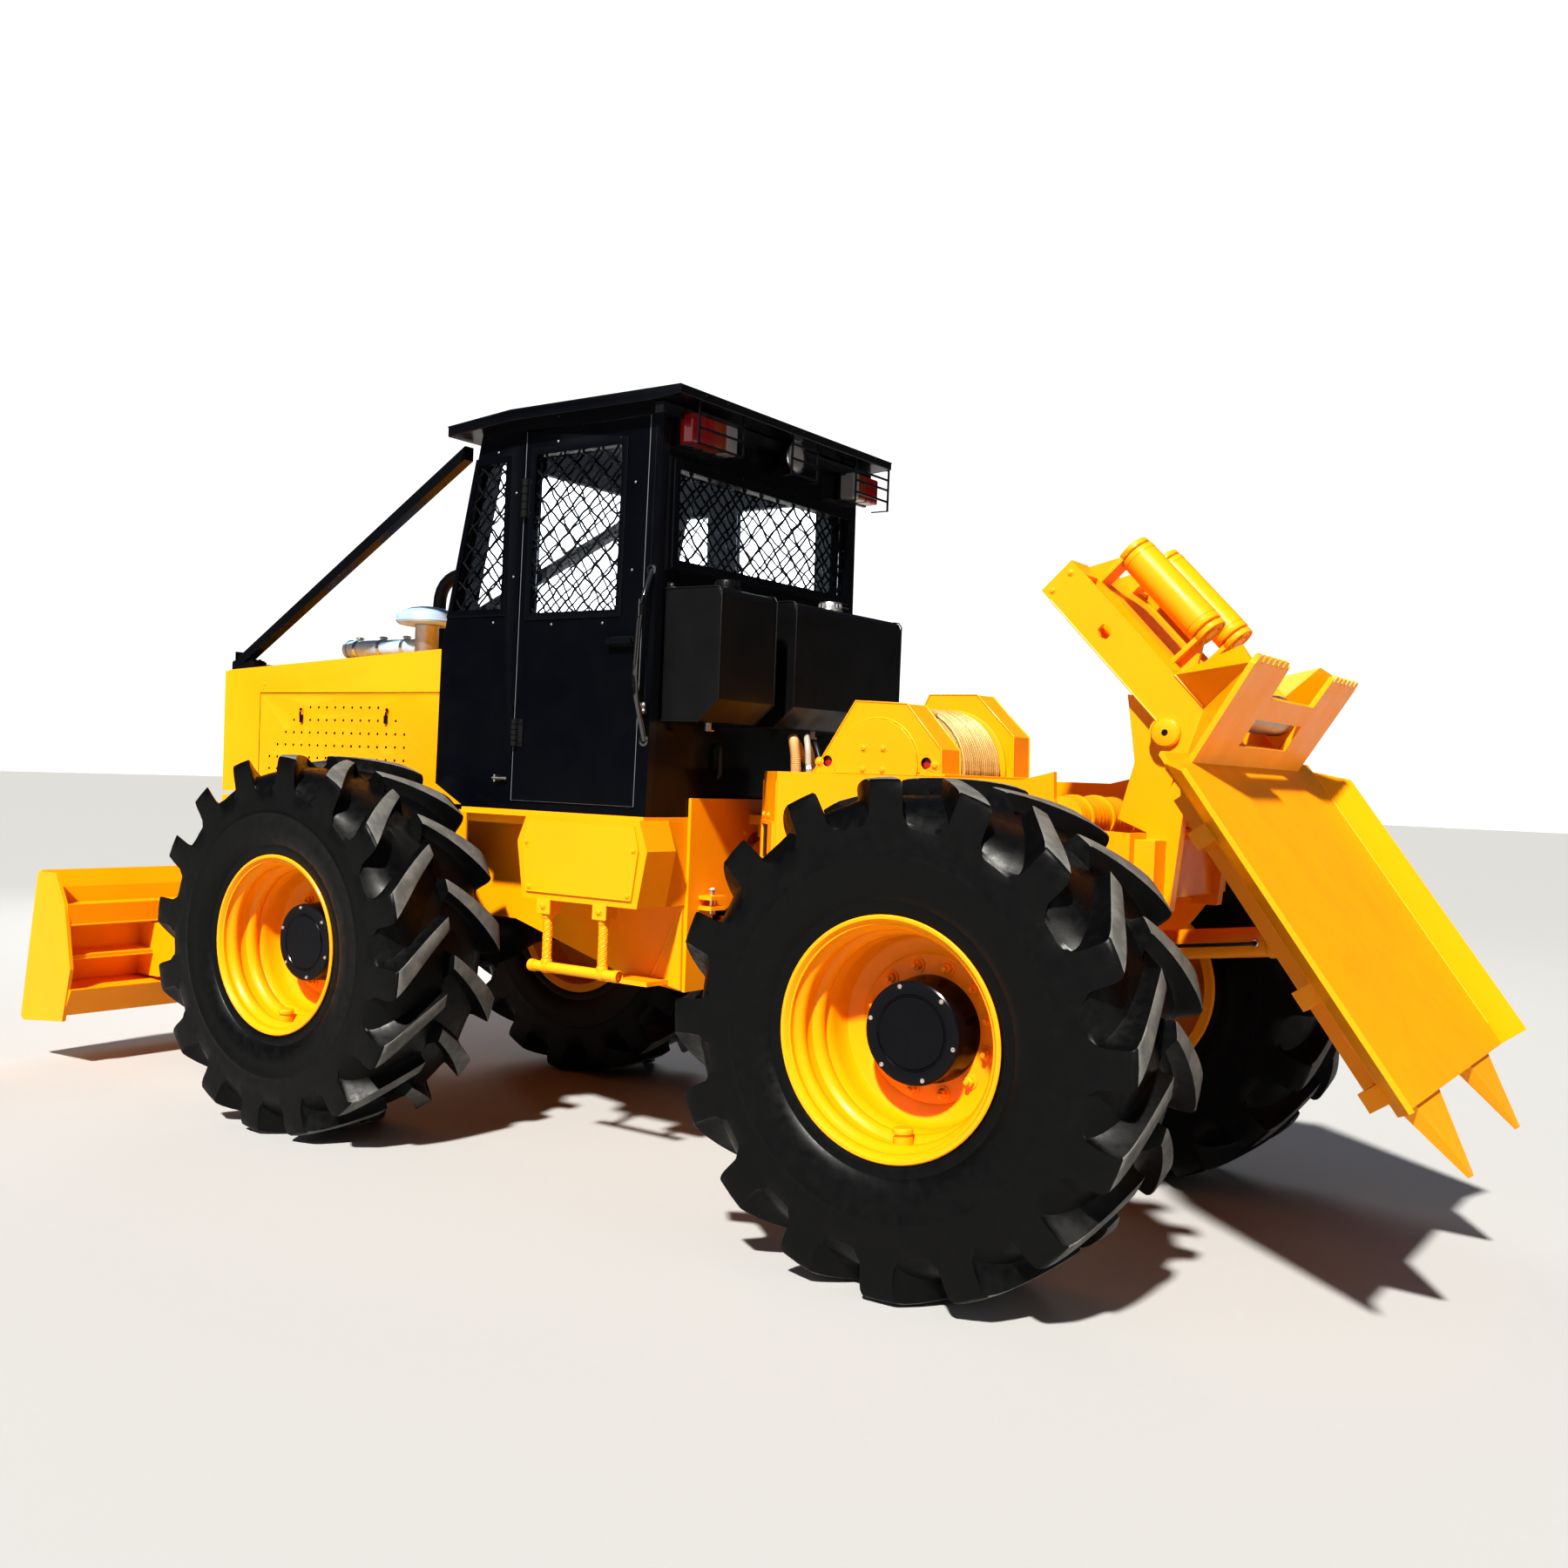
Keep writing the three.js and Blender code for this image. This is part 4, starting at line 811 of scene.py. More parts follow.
# ------------------------------------------------------------------ lamps
CAGE_X = 1217                    # the plane of the lamps' cages
lamps = Part()


def lamp_cage(y0, y1, bars, foot):
    """Flat bars hung from the roof's edge, in a grid behind the lamp."""
    x = CAGE_X
    for y in (y0, y1):
        lamps.slab(x - 3, x + 3, y - 5, y + 5, foot, 2992)
        lamps.slab(x, 1330, y - 4, y + 4, 2984, 2990)
        lamps.slab(x, 1300, y - 3, y + 3, foot, foot + 5)
    for z in bars:
        lamps.slab(x - 3, x + 2, y0, y1, z - 4.5, z + 4.5)


def lens_box(y0, y1, z0, z1, x0, x1, mark, ribs):
    """A lens with rounded edges and moulded ribs on its face."""
    rings = []
    for inset, x in ((0, x1), (0, x0 + 7), (2.2, x0 + 2.2), (7, x0)):
        rings.append(rounded_ring((y0, z0), (y1, z1), 9, 9 - inset, 4,
                                  lambda y, z, x=x: at(x, y, z)))
    lamps.loft(rings, mark)
    for i in range(ribs):
        y = y0 + 10 + (y1 - y0 - 20) * (i + 0.5) / ribs
        lamps.tube([at(x0, y, z0 + 9), at(x0, y, z1 - 9)], 0.0018, 6, mark)


# Rail and the left tail lamp: red end cap, red, amber and clear fields.
lamps.slab(1300, 1339, -772, 772, 2930, 2973)
lamps.slab(1318, 1339, 330, 640, 2836, 2932)
for y0, y1, z0, z1, rear_x, mark, ribs in (
        (560, 640, 2840, 2955, 1258, 1, 6), (498, 560, 2841, 2954, 1262, 1, 5),
        (412, 498, 2841, 2954, 1262, 2, 6), (334, 412, 2841, 2954, 1264, 3, 5)):
    lens_box(y0, y1, z0, z1, rear_x, 1320, mark, ribs)
lamp_cage(362, 656, (2829, 2888, 2944), 2826)
# Right tail lamp: clear, amber and red fields.
lamps.slab(1322, 1339, -775, -548, 2826, 2932)
for y0, y1, rear_x, mark, ribs in ((-600, -548, 1256, 3, 3), (-672, -600, 1262, 2, 5),
                                   (-775, -672, 1262, 1, 6)):
    lens_box(y0, y1, 2830, 2942, rear_x, 1330, mark, ribs)
lamp_cage(-786, -500, (2843, 2895, 2940), 2800)
# Work lamp: a deep housing with a clear lens in a bright ring.
middle = (-84, 2918)
lamps.lathe([(TIP, 0.062), (0.032, 0.060), (0.056, 0.040), (0.069, 0.012), (0.071, 0.0),
             (0.069, -0.006), (0.062, -0.006)], at(1270, *middle), (1, 0, 0), 32)
lamps.lathe([(0.064, -0.004), (0.069, -0.008), (0.067, -0.014), (0.060, -0.013)],
            at(1270, *middle), (1, 0, 0), 32, 4)
lamps.lathe([(TIP, -0.017), (0.032, -0.0155), (0.054, -0.012), (0.062, -0.009)],
            at(1270, *middle), (1, 0, 0), 32, 3)
lamps.tube([at(1300, -84, 2965), at(1290, -84, 2975)], 0.012, 10)
lamp_cage(-185, 12, (2832, 2893, 2952), 2822)
lamps.finish("rear_lamps_dressed", [black, lens_red, lens_amber, lens_white, chrome],
             "front_chassis", "black_paint", replaces=["rear_lamps"])

# ------------------------------------------------------------------ hood
HOOD_Y = 484


def carve(node_name, cutter, name):
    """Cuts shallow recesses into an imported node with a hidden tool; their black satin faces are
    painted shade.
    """
    tool = cutter.finish(name, [black_satin], None, None)
    tool.hide_render = tool.hide_viewport = True
    tool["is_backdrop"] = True
    target = nodes[node_name]
    target.data.materials.append(black_satin)
    made = target.modifiers.new("recesses", "BOOLEAN")
    made.operation, made.object, made.solver = "DIFFERENCE", tool, "EXACT"
    made.use_self = True
    # The cut faces take the tool's black satin: painted shade in the holes, and the dark of the
    # joints in the gaps.
    made.material_mode = "TRANSFER"
    target.modifiers.move(len(target.modifiers) - 1, 1)


PITCH = 60.5
HOLE_ROWS = [(1832, 0, 8), (1771, 0, 8), (1710, -3, 11), (1649, -4, 11), (1589, -5, 11),
             (1530, -5, 11), (1470, -5, 11)]
holes = Part()
for side in (1, -1):
    for z, first, last in HOLE_ROWS:
        columns = list(range(first, last + 1)) + ([-2, 10] if z == 1771 else [])
        for k in columns:
            spot = at(3634 - PITCH * k, side * (HOOD_Y + 2), z)
            holes.tube([spot, spot - Vector((0, side * 0.013, 0))], 0.0068, 10)
    # Gaps round the side panel.
    for (x0, x1), (z0, z1) in (((2505, 4022), (1899, 1904)), ((4018, 4023), (1420, 1902))):
        holes.slab(x0, x1, HOOD_Y - 6, HOOD_Y + 3, z0, z1, side)
carve("hood", holes, "hood_recess_tool")

hood = Part()
for side in (1, -1):
    way = (0, side, 0)
    # Latches: a slotted plate with a key-shaped lever.
    for x, lean in ((3694, 2), (3091, -9)):
        hood.slab(x - 9, x + 9, 486, 495, 1758, 1796, side, 1)
        hood.tube([at(x, side * 496, 1770), at(x + lean, side * 497, 1812)], 0.0045, 8, 1)
        hood.dome(at(x + lean, side * 492, 1822), way, 0.008, 0.008, 12, 1)
    for x, z in ((3992, 1945), (2560, 1945), (2560, 1450), (3992, 1450)):
        hood.bolt(at(x, side * HOOD_Y, z), way, 0.006, 0.004)
    # Panel edges: a narrow turned lip under the gap.
    hood.slab(2510, 4014, 483, 486, 1893, 1898, side)
    # Shoes of the brush guard: a welded angle with three bolts.
    hood.slab(4100, 4258, 404, 476, 2062, 2068, side, 2)
    hood.slab(4236, 4244, 404, 476, 2062, 2112, side, 2)
    for x in (4120, 4150):
        for y in (418, 462):
            hood.bolt(at(x, side * y, 2068), (0, 0, 1), 0.009, 0.007, mark=2)
    hood.bolt(at(4244, side * 440, 2092), (1, 0, 0), 0.009, 0.007, mark=2)
# Strap hinges along the top and the bonnet's centre joint.
for x in (2650, 3000, 3350, 3700, 4050):
    z = 2097 - 0.05 * (x - 2745)
    hood.slab(x - 30, x + 30, -9, 9, z - 2, z + 5)
hood.finish("hood_fittings", [yellow, black_satin, black], "front_chassis", "yellow_paint",
            bevel=0.001)

# Radiator core behind the slats.
core = Part()
core.slab(4270, 4279, -430, 430, 1462, 1960)
for i in range(44):
    y = -420 + i * 19.5
    core.slab(4279, 4282, y - 1.5, y + 1.5, 1465, 1958)
core.finish("radiator_core", [black_satin], "front_chassis", "black_paint")

# ------------------------------------------------------------------ cleaner and exhaust
cleaner = Part()
stem = at(3090, 250, 2072)
cleaner.lathe([(0.056, 0.0), (0.056, 0.150), (0.060, 0.156), (0.060, 0.164), (0.052, 0.168)],
              stem, (0, 0, 1), 40, 1)
cleaner.lathe([(0.050, 0.166), (0.112, 0.160), (0.134, 0.164), (0.1445, 0.172),
               (0.1450, 0.206), (0.140, 0.216), (0.118, 0.228), (0.080, 0.242),
               (0.040, 0.249), (TIP, 0.251)], stem, (0, 0, 1), 56)
cleaner.lathe([(0.146, 0.176), (0.1475, 0.180), (0.146, 0.184)], stem, (0, 0, 1), 56)
pipe_z, pipe_r = 2131, 0.0415
cleaner.tube([at(3120, 250, pipe_z), at(3640, 250, pipe_z)], pipe_r, 28)
cleaner.lathe([(TIP, 0.020), (0.030, 0.018), (0.044, 0.004), (0.046, -0.02)],
              at(3640, 250, pipe_z), (1, 0, 0), 28)
for x in (3225, 3390, 3560):
    cleaner.lathe([(0.0425, -0.010), (0.0455, -0.010), (0.0455, 0.010), (0.0425, 0.010)],
                  at(x, 250, pipe_z), (1, 0, 0), 28, 2, closed=True)
    cleaner.slab(x - 8, x + 8, 238, 262, pipe_z + 42, pipe_z + 58, mark=2)
    cleaner.tube([at(x, 226, pipe_z + 51), at(x, 276, pipe_z + 51)], 0.004, 8, 2)
for x in (3230, 3560):
    cleaner.slab(x - 9, x + 9, 222, 278, 2064, pipe_z - 20, mark=2)
cleaner.finish("air_cleaner_dressed", [cap_metal, steel, zinc], "front_chassis",
               "bare_steel", replaces=["air_cleaner"])

stack = Part()
route = [at(3400, -120, 2072), at(3400, -120, 2250), at(3400, -120, 2380),
         at(3396, -120, 2420), at(3384, -120, 2455), at(3362, -120, 2484),
         at(3334, -120, 2505), at(3300, -120, 2519), at(3262, -120, 2528),
         at(3210, -120, 2537), at(3162, -120, 2544)]
stack.tube(route, 0.0325, 24, caps=False)
stack.tube(route[::-1], 0.0290, 24, 1, caps=False)
stack.lathe([(0.034, 0), (0.050, 0.002), (0.050, 0.010), (0.036, 0.014), (0.036, 0.03)],
            at(3400, -120, 2070), (0, 0, 1), 28)
stack.bolt_ring(at(3400, -120, 2080), (0.043, 0, 0), (0, 0.043, 0), 4, (0, 0, 1), 0.006,
                0.005, 0.5, 1)
stack.finish("exhaust_dressed", [black_satin, black], "front_chassis", "black_paint",
             replaces=["exhaust"])

# ------------------------------------------------------------------ grab bars and tanks
def rounded(points, radius, steps=5):
    """A path through points whose corners are rounded off."""
    points = [Vector(p) for p in points]
    path = [points[0]]
    for before, corner, after in zip(points, points[1:], points[2:]):
        inward = (before - corner).normalized() * radius
        outward = (after - corner).normalized() * radius
        for k in range(steps + 1):
            t = k / steps
            path.append(corner + inward * (1 - t) ** 2 + outward * t ** 2)
    path.append(points[-1])
    return path


bars = Part()
for side in (1, -1):
    grip = [wall(1366, 2349, -4, side), wall(1354, 2210, 72, side),
            wall(1370, 1906, 70, side), wall(1365, 1700, -4, side)]
    bars.tube(rounded(grip, 0.085, 8), 0.0116, 14)
    for z, x in ((2349, 1366), (1700, 1365)):
        bars.lathe([(0.012, 0.004), (0.022, 0.003), (0.022, -0.002)], wall(x, z, 0, side),
                   (0, side, 0), 18)
    # A thin steel line down the bar's outer face: a painted highlight.
    worn_and_highlight = wall(1354, 2200, 81.0, side)
    bars.tube([worn_and_highlight + Vector((0, 0, 0.030)), worn_and_highlight - Vector((0, 0, 0.034))], 0.0014, 5, 1)
bars.finish("grab_bars", [gloss_black, steel], "front_chassis", "black_paint")

TANK_REAR, TANK_FRONT, TANK_TOP = 1062, 1329, 2283
tanks = Part()
for x, y, look in ((1172, 497.5, 0), (1172, -256.5, 1)):
    spot = at(x, y, TANK_TOP)
    tanks.lathe([(0.054, -0.001), (0.054, 0.012), (0.049, 0.014), (0.048, 0.018),
                 (0.0475, 0.040), (0.044, 0.045), (0.020, 0.047), (TIP, 0.047)], spot,
                (0, 0, 1), 40, look)
    for k in range(18):
        a = turned(k, 18)
        out = Vector((math.cos(a), math.sin(a), 0)) * 0.0478
        tanks.tube([spot + out + Vector((0, 0, 0.020)), spot + out + Vector((0, 0, 0.038))],
                   0.0024, 6, look)
    tanks.tube([spot + Vector((0.052, 0, 0.01)), spot + Vector((0.085, 0, 0.012)),
                spot + Vector((0.10, 0.01, 0.001))], 0.002, 6, 2)
for y0, y1 in ((312, 683), (-683, 170)):
    for y in (y0 + 40, y1 - 40):
        tanks.slab(1300, 1340, y - 16, y + 16, TANK_TOP, 2288)
        tanks.slab(TANK_FRONT, 1340, y - 16, y + 16, 2230, 2310)
        tanks.bolt(at(1316, y, 2288), (0, 0, 1), 0.007, 0.005, mark=2)
        tanks.bolt(at(TANK_FRONT, y, 2300), (-1, 0, 0), 0.007, 0.005, mark=2)
    # Rolled seams where the tanks' ends are welded on.
    outline = [(TANK_REAR, 1862), (TANK_REAR, 2262), (1075, 2280), (1095, TANK_TOP),
               (TANK_FRONT, TANK_TOP)]
    for y in (y0, y1):
        tanks.tube([at(x, y, z) for x, z in outline], 0.0032, 6)
        tanks.tube([at(TANK_REAR, y, 1862), at(1152, y, 1780), at(TANK_FRONT, y, 1780)], 0.0032, 6)
    # Drain cock below.
    middle = (y0 + y1) / 2
    tanks.tube([at(1240, middle, 1782), at(1240, middle, 1748)], 0.014, 12, 2)
    tanks.tube([at(1240, middle, 1756), at(1240, middle - 36, 1752)], 0.005, 8, 2)
tanks.finish("tank_fittings", [black_satin, zinc, steel], "front_chassis", "black_paint")

# ------------------------------------------------------------------ steps under the doors
STEP_Y, RUNG_Z = 750, 789         # the step's rung hangs here on its ropes
steps = Part()


def twisted_rope(part, low, high, strand_r, lay_r, turns):
    """Six strands laid round a core between two points."""
    low, high = Vector(low), Vector(high)
    way = (high - low).normalized()
    helper = Vector((1, 0, 0)) if abs(way.x) < 0.9 else Vector((0, 1, 0))
    u = way.cross(helper).normalized()
    w = way.cross(u)
    count = int(turns * 14)
    part.tube([low, high], lay_r, 10)
    for strand in range(6):
        path = []
        for k in range(count + 1):
            a = 2 * math.pi * (turns * k / count + strand / 6)
            path.append(low.lerp(high, k / count) + (u * math.cos(a) + w * math.sin(a)) * lay_r)
        part.tube(path, strand_r, 6)


for side in (1, -1):
    for x in (1520, 1810):
        twisted_rope(steps, at(x, side * STEP_Y, 812), at(x, side * STEP_Y, 1004), 0.0064,
                     0.0142, 3.2)
        for z in (806, 1000):
            steps.lathe([(0.0210, -0.016), (0.0230, -0.013), (0.0230, 0.013), (0.0210, 0.016)],
                        at(x, side * STEP_Y, z), (0, 0, 1), 18)
        steps.slab(x - 34, x + 34, 775, 781, 1004, 1066, side)
        steps.bolt(at(x, side * 781, 1036), (0, side, 0), 0.012, 0.009)
    steps.tube([at(1447, side * STEP_Y, RUNG_Z), at(1883, side * STEP_Y, RUNG_Z)], 0.0214, 24)
    for x in (1447, 1520, 1810, 1883):
        steps.lathe([(0.0222, -0.014), (0.0245, -0.012), (0.0245, 0.012), (0.0222, 0.014)],
                    at(x, side * STEP_Y, RUNG_Z), (1, 0, 0), 24)
    for x, z in ((1355, 1281), (1905, 1287), (1378, 1108), (1884, 1108)):
        steps.bolt(at(x, side * 788, z), (0, side, 0), 0.0085, 0.006)
    # Lid's gap.
    for (ax, az), (bx, bz) in (((1360, 1372), (1335, 1280)), ((1335, 1280), (1362, 1090)),
                               ((1362, 1090), (1900, 1090)), ((1900, 1090), (1925, 1288)),
                               ((1925, 1288), (1895, 1372))):
        steps.tube([at(ax, side * 786.5, az), at(bx, side * 786.5, bz)], 0.0026, 6)
    # Checkered tread on the deck's edge beside the door.
    for i in range(9):
        x = 1960 + i * 36
        steps.slab(x, x + 14, side * 725 - 12, side * 725 + 12, 1409, 1412.5)
steps.finish("steps_dressed", [yellow], "front_chassis", "yellow_paint")

# ------------------------------------------------------------------ hydraulic rams
def ram_pieces(label, bodies, base, tip, pin, sizes, port=(0, 0, 1)):
    """A cylinder and its rod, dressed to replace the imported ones."""
    barrel_r, rod_r, length, travel = (v / 1000 for v in sizes)
    base, tip, pin = at(*base), at(*tip), Vector(pin)
    way = (tip - base).normalized()
    total = (tip - base).length
    outer, inner = Part(), Part()
    outer.lathe([(TIP, 0.004), (barrel_r * 0.92, 0.006), (barrel_r, 0.012),
                 (barrel_r, length - 0.055), (barrel_r * 1.09, length - 0.052),
                 (barrel_r * 1.09, length - 0.012), (barrel_r * 0.98, length - 0.004),
                 (rod_r + 0.006, length), (rod_r + 0.001, length - 0.004),
                 (rod_r + 0.001, length - 0.06)], base, way, 40)
    half = barrel_r * 0.8
    outer.lathe([(TIP, -half), (barrel_r * 0.86, -half), (barrel_r * 0.9, -half + 0.003),
                 (barrel_r * 0.9, half - 0.003), (barrel_r * 0.86, half), (TIP, half)],
                base, pin, 36)
    inner.lathe([(TIP, barrel_r * 1.2 + travel + 0.006),
                 (rod_r, barrel_r * 1.2 + travel + 0.006), (rod_r, total - barrel_r * 0.7),
                 (rod_r * 1.25, total - barrel_r * 0.7), (rod_r * 1.25, total)],
                base, way, 32, 1)
    half = barrel_r * 0.7
    inner.lathe([(TIP, -half), (barrel_r * 0.77, -half), (barrel_r * 0.8, -half + 0.003),
                 (barrel_r * 0.8, half - 0.003), (barrel_r * 0.77, half), (TIP, half)],
                tip, pin, 36)
    port = Vector(port)
    for d in (0.075, length - 0.085):
        spot = base + way * d + port * barrel_r * 0.9
        outer.lathe([(0.012, 0), (0.012, 0.016), (0.009, 0.017), (0.009, 0.024)], spot, port,
                    12, 2)
    start = base + way * 0.075 + port * (barrel_r * 0.9 + 0.022)
    end = base + way * (length - 0.085) + port * (barrel_r * 0.9 + 0.022)
    lift = port * 0.03
    outer.tube([start, start + lift * 0.5, start.lerp(end, 0.12) + lift,
                start.lerp(end, 0.3) + lift * 0.75], 0.0065, 10, 3)
    outer.tube([end, end + lift * 0.4, start.lerp(end, 0.86) + lift * 0.9,
                start.lerp(end, 0.3) + lift * 0.75 - way * 0.01], 0.0065, 10, 3)
    looks = [yellow, chrome, zinc, hose_black]
    outer.finish(label + "_barrel_dressed", looks, bodies[0], "yellow_paint",
                 replaces=[bodies[2]])
    inner.finish(label + "_rod_dressed", looks, bodies[1], "bare_steel",
                 replaces=[bodies[3]])


for place, side in SIDES:
    ram_pieces("blade_ram_" + place, (f"blade_ram_{place}", f"blade_ram_rod_{place}",
                                      f"blade_barrel_{place}", f"blade_rod_{place}"),
               (4150, 550 * side, 1330), (4250, 550 * side, 740), (0, 1, 0),
               (42, 22, 360, 183), (0, side, 0))
    ram_pieces("steer_ram_" + place, (f"steer_ram_{place}", f"steer_ram_rod_{place}",
                                      f"steer_barrel_{place}", f"steer_rod_{place}"),
               (1800, 300 * side, 990), (1130, 215 * side, 990), (0, 0, 1),
               (40, 21, 440, 165), (0, 0, 1))
ram_pieces("plate_ram", ("plate_ram", "plate_ram_rod", "plate_barrel", "plate_rod"),
           (-230, 0, 1020), (-980, 0, 1116), (0, 1, 0), (52, 28, 600, 80), (0, 1, 0))

# ------------------------------------------------------------------ axles
AXLE_UP = 800                    # the axles' height over the ground
for place, x, body in (("front", 2920, "front_chassis"), ("rear", 0, "rear_chassis")):
    axle = Part()
    axle.lathe(both_ways([(TIP, 0.760), (0.146, 0.760), (0.150, 0.756), (0.150, 0.694),
                          (0.146, 0.690), (0.112, 0.686), (0.100, 0.640), (0.095, 0.420),
                          (0.110, 0.330), (0.140, 0.240), (0.175, 0.130)], (0.184, 0.0)),
               at(x, 0, AXLE_UP), (0, 1, 0), 56)
    axle.lathe([(TIP, -0.155), (0.050, -0.155), (0.060, -0.145), (0.095, -0.135),
                (0.165, -0.110), (0.184, -0.060), (0.188, 0.060), (0.150, 0.120),
                (0.080, 0.148), (TIP, 0.150)], at(x, 0, AXLE_UP), (1, 0, 0))
    for side in (1, -1):
        axle.bolt_ring(at(x, -690 * side, AXLE_UP), (0.131, 0, 0), (0, 0, 0.131), 12,
                       (0, side, 0), 0.010, 0.009)
    axle.bolt_ring(at(x - 112, 0, AXLE_UP), (0, 0.172, 0), (0, 0, 0.172), 10, (-1, 0, 0), 0.009,
                   0.008, 0.5)
    for side in (1, -1):
        axle.slab(x - 90, x + 90, 290, 420, AXLE_UP, 929, side)
        for dx in (-66, 66):
            axle.bolt(at(x + dx, side * 312, 902), (0, 0, 1), 0.014, 0.012)
    for v in axle.verts:
        if abs(v.y) < 0.285:
            v.z = min(v.z, 0.9275)
    axle.finish(f"{place}_axle_dressed", [black_satin], body, "black_paint",
                replaces=[place + "_axle"])

# ------------------------------------------------------------------ nose of the rear frame
nose = Part()


def cheek(along, z, out=0.0, side=1):
    """A place on the chamfered cheek, along it from its rear edge, 0 to 1."""
    nx, ny = 240 / 325.6, 220 / 325.6
    return at(960 + 220 * along + nx * out, side * (420 - 240 * along + ny * out), z)


rim_of_slot = oblong(0.10, 1245, 0.985, 1409)
slot_hole = oblong(0.43, 1260, 0.90, 1394)
for side in (1, -1):
    def on_cheek(a, b, out, side=side):
        return cheek(a, b, out, side)

    frame_between(nose, on_cheek, rim_of_slot, slot_hole, 0.4, 9)
    # A thin black sheet fills the slot, which has no opening: painted shade for the slot's inside.
    sheet_between(nose, on_cheek, slot_hole, 0.4, 1.2, 1)
    out_way = Vector((240, side * 220, 0)).normalized()
    for a in (0.55, 0.93):
        nose.bolt(cheek(a, 1430, 0, side), out_way, 0.010, 0.008)
    # Weld beads along the cheek's edges.
    for along in (0.0, 1.0):
        nose.tube([cheek(along, z, 1, side) for z in range(1216, 1600, 32)], 0.004, 6)
    # Lock pin of the articulation, stowed on the rear half, with its ring.
    nose.tube([at(1296, side * 350, 1024), at(1296, side * 350, 1120)], 0.013, 14, 2)
    nose.tube([at(1296 + 18 * math.cos(t * 0.524), side * 350 + 18 * math.sin(t * 0.524), 1124)
               for t in range(12)], 0.003, 6, 2, closed=True)
nose.finish("nose_fittings", [yellow, black_satin, zinc], "rear_chassis", "yellow_paint")

pins = Part()
for z0, z1 in ((1420, 1432), (768, 780)):
    pins.lathe([(TIP, 0.014), (0.030, 0.013), (0.034, 0.010), (0.034, 0.0)],
               at(1253, 0, z0 if z0 > 1000 else z1), (0, 0, 1 if z0 > 1000 else -1), 24)
# Bulkhead: shaft flange bolts and a yoke.
pins.bolt_ring(at(1326, 0, 1255), (0, 0, 0.128), (0, 0.128, 0), 8, (-1, 0, 0), 0.010, 0.008)
pins.lathe([(0.047, 0.0), (0.060, 0.004), (0.060, 0.018), (0.047, 0.022)], at(1312, 0, 1255),
           (-1, 0, 0), 28)
for side in (1, -1):
    way = (0, side, 0)
    # Pins of the blade's arms and of its cylinders.
    pins.lathe([(TIP, 0.012), (0.030, 0.011), (0.036, 0.008), (0.036, -0.002)],
               at(3660, side * 494, 900), way, 24)
    for x, z in ((4150, 1330), (4118, 1290), (4182, 1290)):
        pins.bolt(at(x, side * 505, z), way, 0.012, 0.010)
    for x in (1700, 1780, 2200):
        pins.bolt(at(x, side * 470, 1190), way, 0.011, 0.008)
    # Weld beads of the gussets under the toolbox.
    pins.tube([at(1345, side * 482, 1056), at(1490, side * 482, 751)], 0.005, 6)
pins.finish("front_pins", [yellow], "front_chassis", "yellow_paint")

# ------------------------------------------------------------------ winch
DRUM_X, DRUM_Z = 540, 1635       # the drum's axis
holes = Part()
FOOT_HOLES = ((338, 1650), (752, 1648))
for x, z in FOOT_HOLES:
    holes.tube([at(x, 404, z), at(x, 382, z)], 0.020, 24)
carve("winch_housing", holes, "winch_recess_tool")

winch = Part()
# Red discs at the holes' bottoms: painted shade of the holes' insides.
for x, z in FOOT_HOLES:
    winch.lathe([(TIP, 0.001), (0.0195, 0.001), (0.0195, -0.002)], at(x, 384, z),
                (0, 1, 0), 24, 1)
for x, z in ((508, 1700), (590, 1700), (508, 1622), (590, 1622)):
    winch.bolt(at(x, 412, z), (0, 1, 0), 0.010, 0.007)
arc = [(DRUM_X + 176 * math.cos(math.radians(a)), DRUM_Z + 176 * math.sin(math.radians(a)))
       for a in range(-6, 187, 6)]
winch.tube([at(x, 401, z) for x, z in arc], 0.0045)
for x in (300, 785):
    winch.bolt(at(x, 400, 1645), (0, 1, 0), 0.012, 0.009)
for k in range(8):
    a = turned(k, 8)
    if math.sin(a) > -0.2:
        winch.bolt(at(DRUM_X + 120 * math.cos(a), -345, DRUM_Z + 120 * math.sin(a)), (0, -1, 0),
                   0.012, 0.009)
# Beads where the cheeks' edge strips are welded.
LEFT_CHEEK = [(811, 1604), (638, 1873), (424, 1863), (279, 1701), (274, 1604)]
RIGHT_CHEEK = [(811, 1604), (651, 1933), (443, 1933), (281, 1771), (276, 1604)]
for y, outline in ((400, LEFT_CHEEK), (255, LEFT_CHEEK), (-200, RIGHT_CHEEK),
                   (-345, RIGHT_CHEEK)):
    winch.tube([at(x, y, z) for x, z in outline], 0.0035, 6)
winch.finish("winch_fittings", [yellow, hole_shade_red], "rear_chassis", "yellow_paint")

rope = Part()


def wraps(y0, y1, radius, pitch, sides=7, thick=0.0078):
    count = int(abs(y1 - y0) / pitch)
    path = []
    for k in range(count * 36 + 1):
        a = turned(k, 36)
        y = y0 + (y1 - y0) * k / (count * 36)
        wobble = 0.6 * math.sin(a * 0.31) + 0.4 * math.sin(a * 0.173 + 1)
        path.append(at(DRUM_X + (radius + wobble) * math.cos(a), y,
                       DRUM_Z + (radius + wobble) * math.sin(a)))
    rope.tube(path, thick, sides)


wraps(-176, 231, 212.0, 15.9)
wraps(150, -150, 224.5, 16.3)
cross = [at(DRUM_X + 229 * math.cos(math.radians(a)), -120 + 2.9 * (a - 20),
            DRUM_Z + 229 * math.sin(math.radians(a))) for a in range(20, 125, 5)]
rope.tube(cross, 0.0064)
rope.finish("winch_rope", [rope_steel], "winch_rotor", "bare_steel")

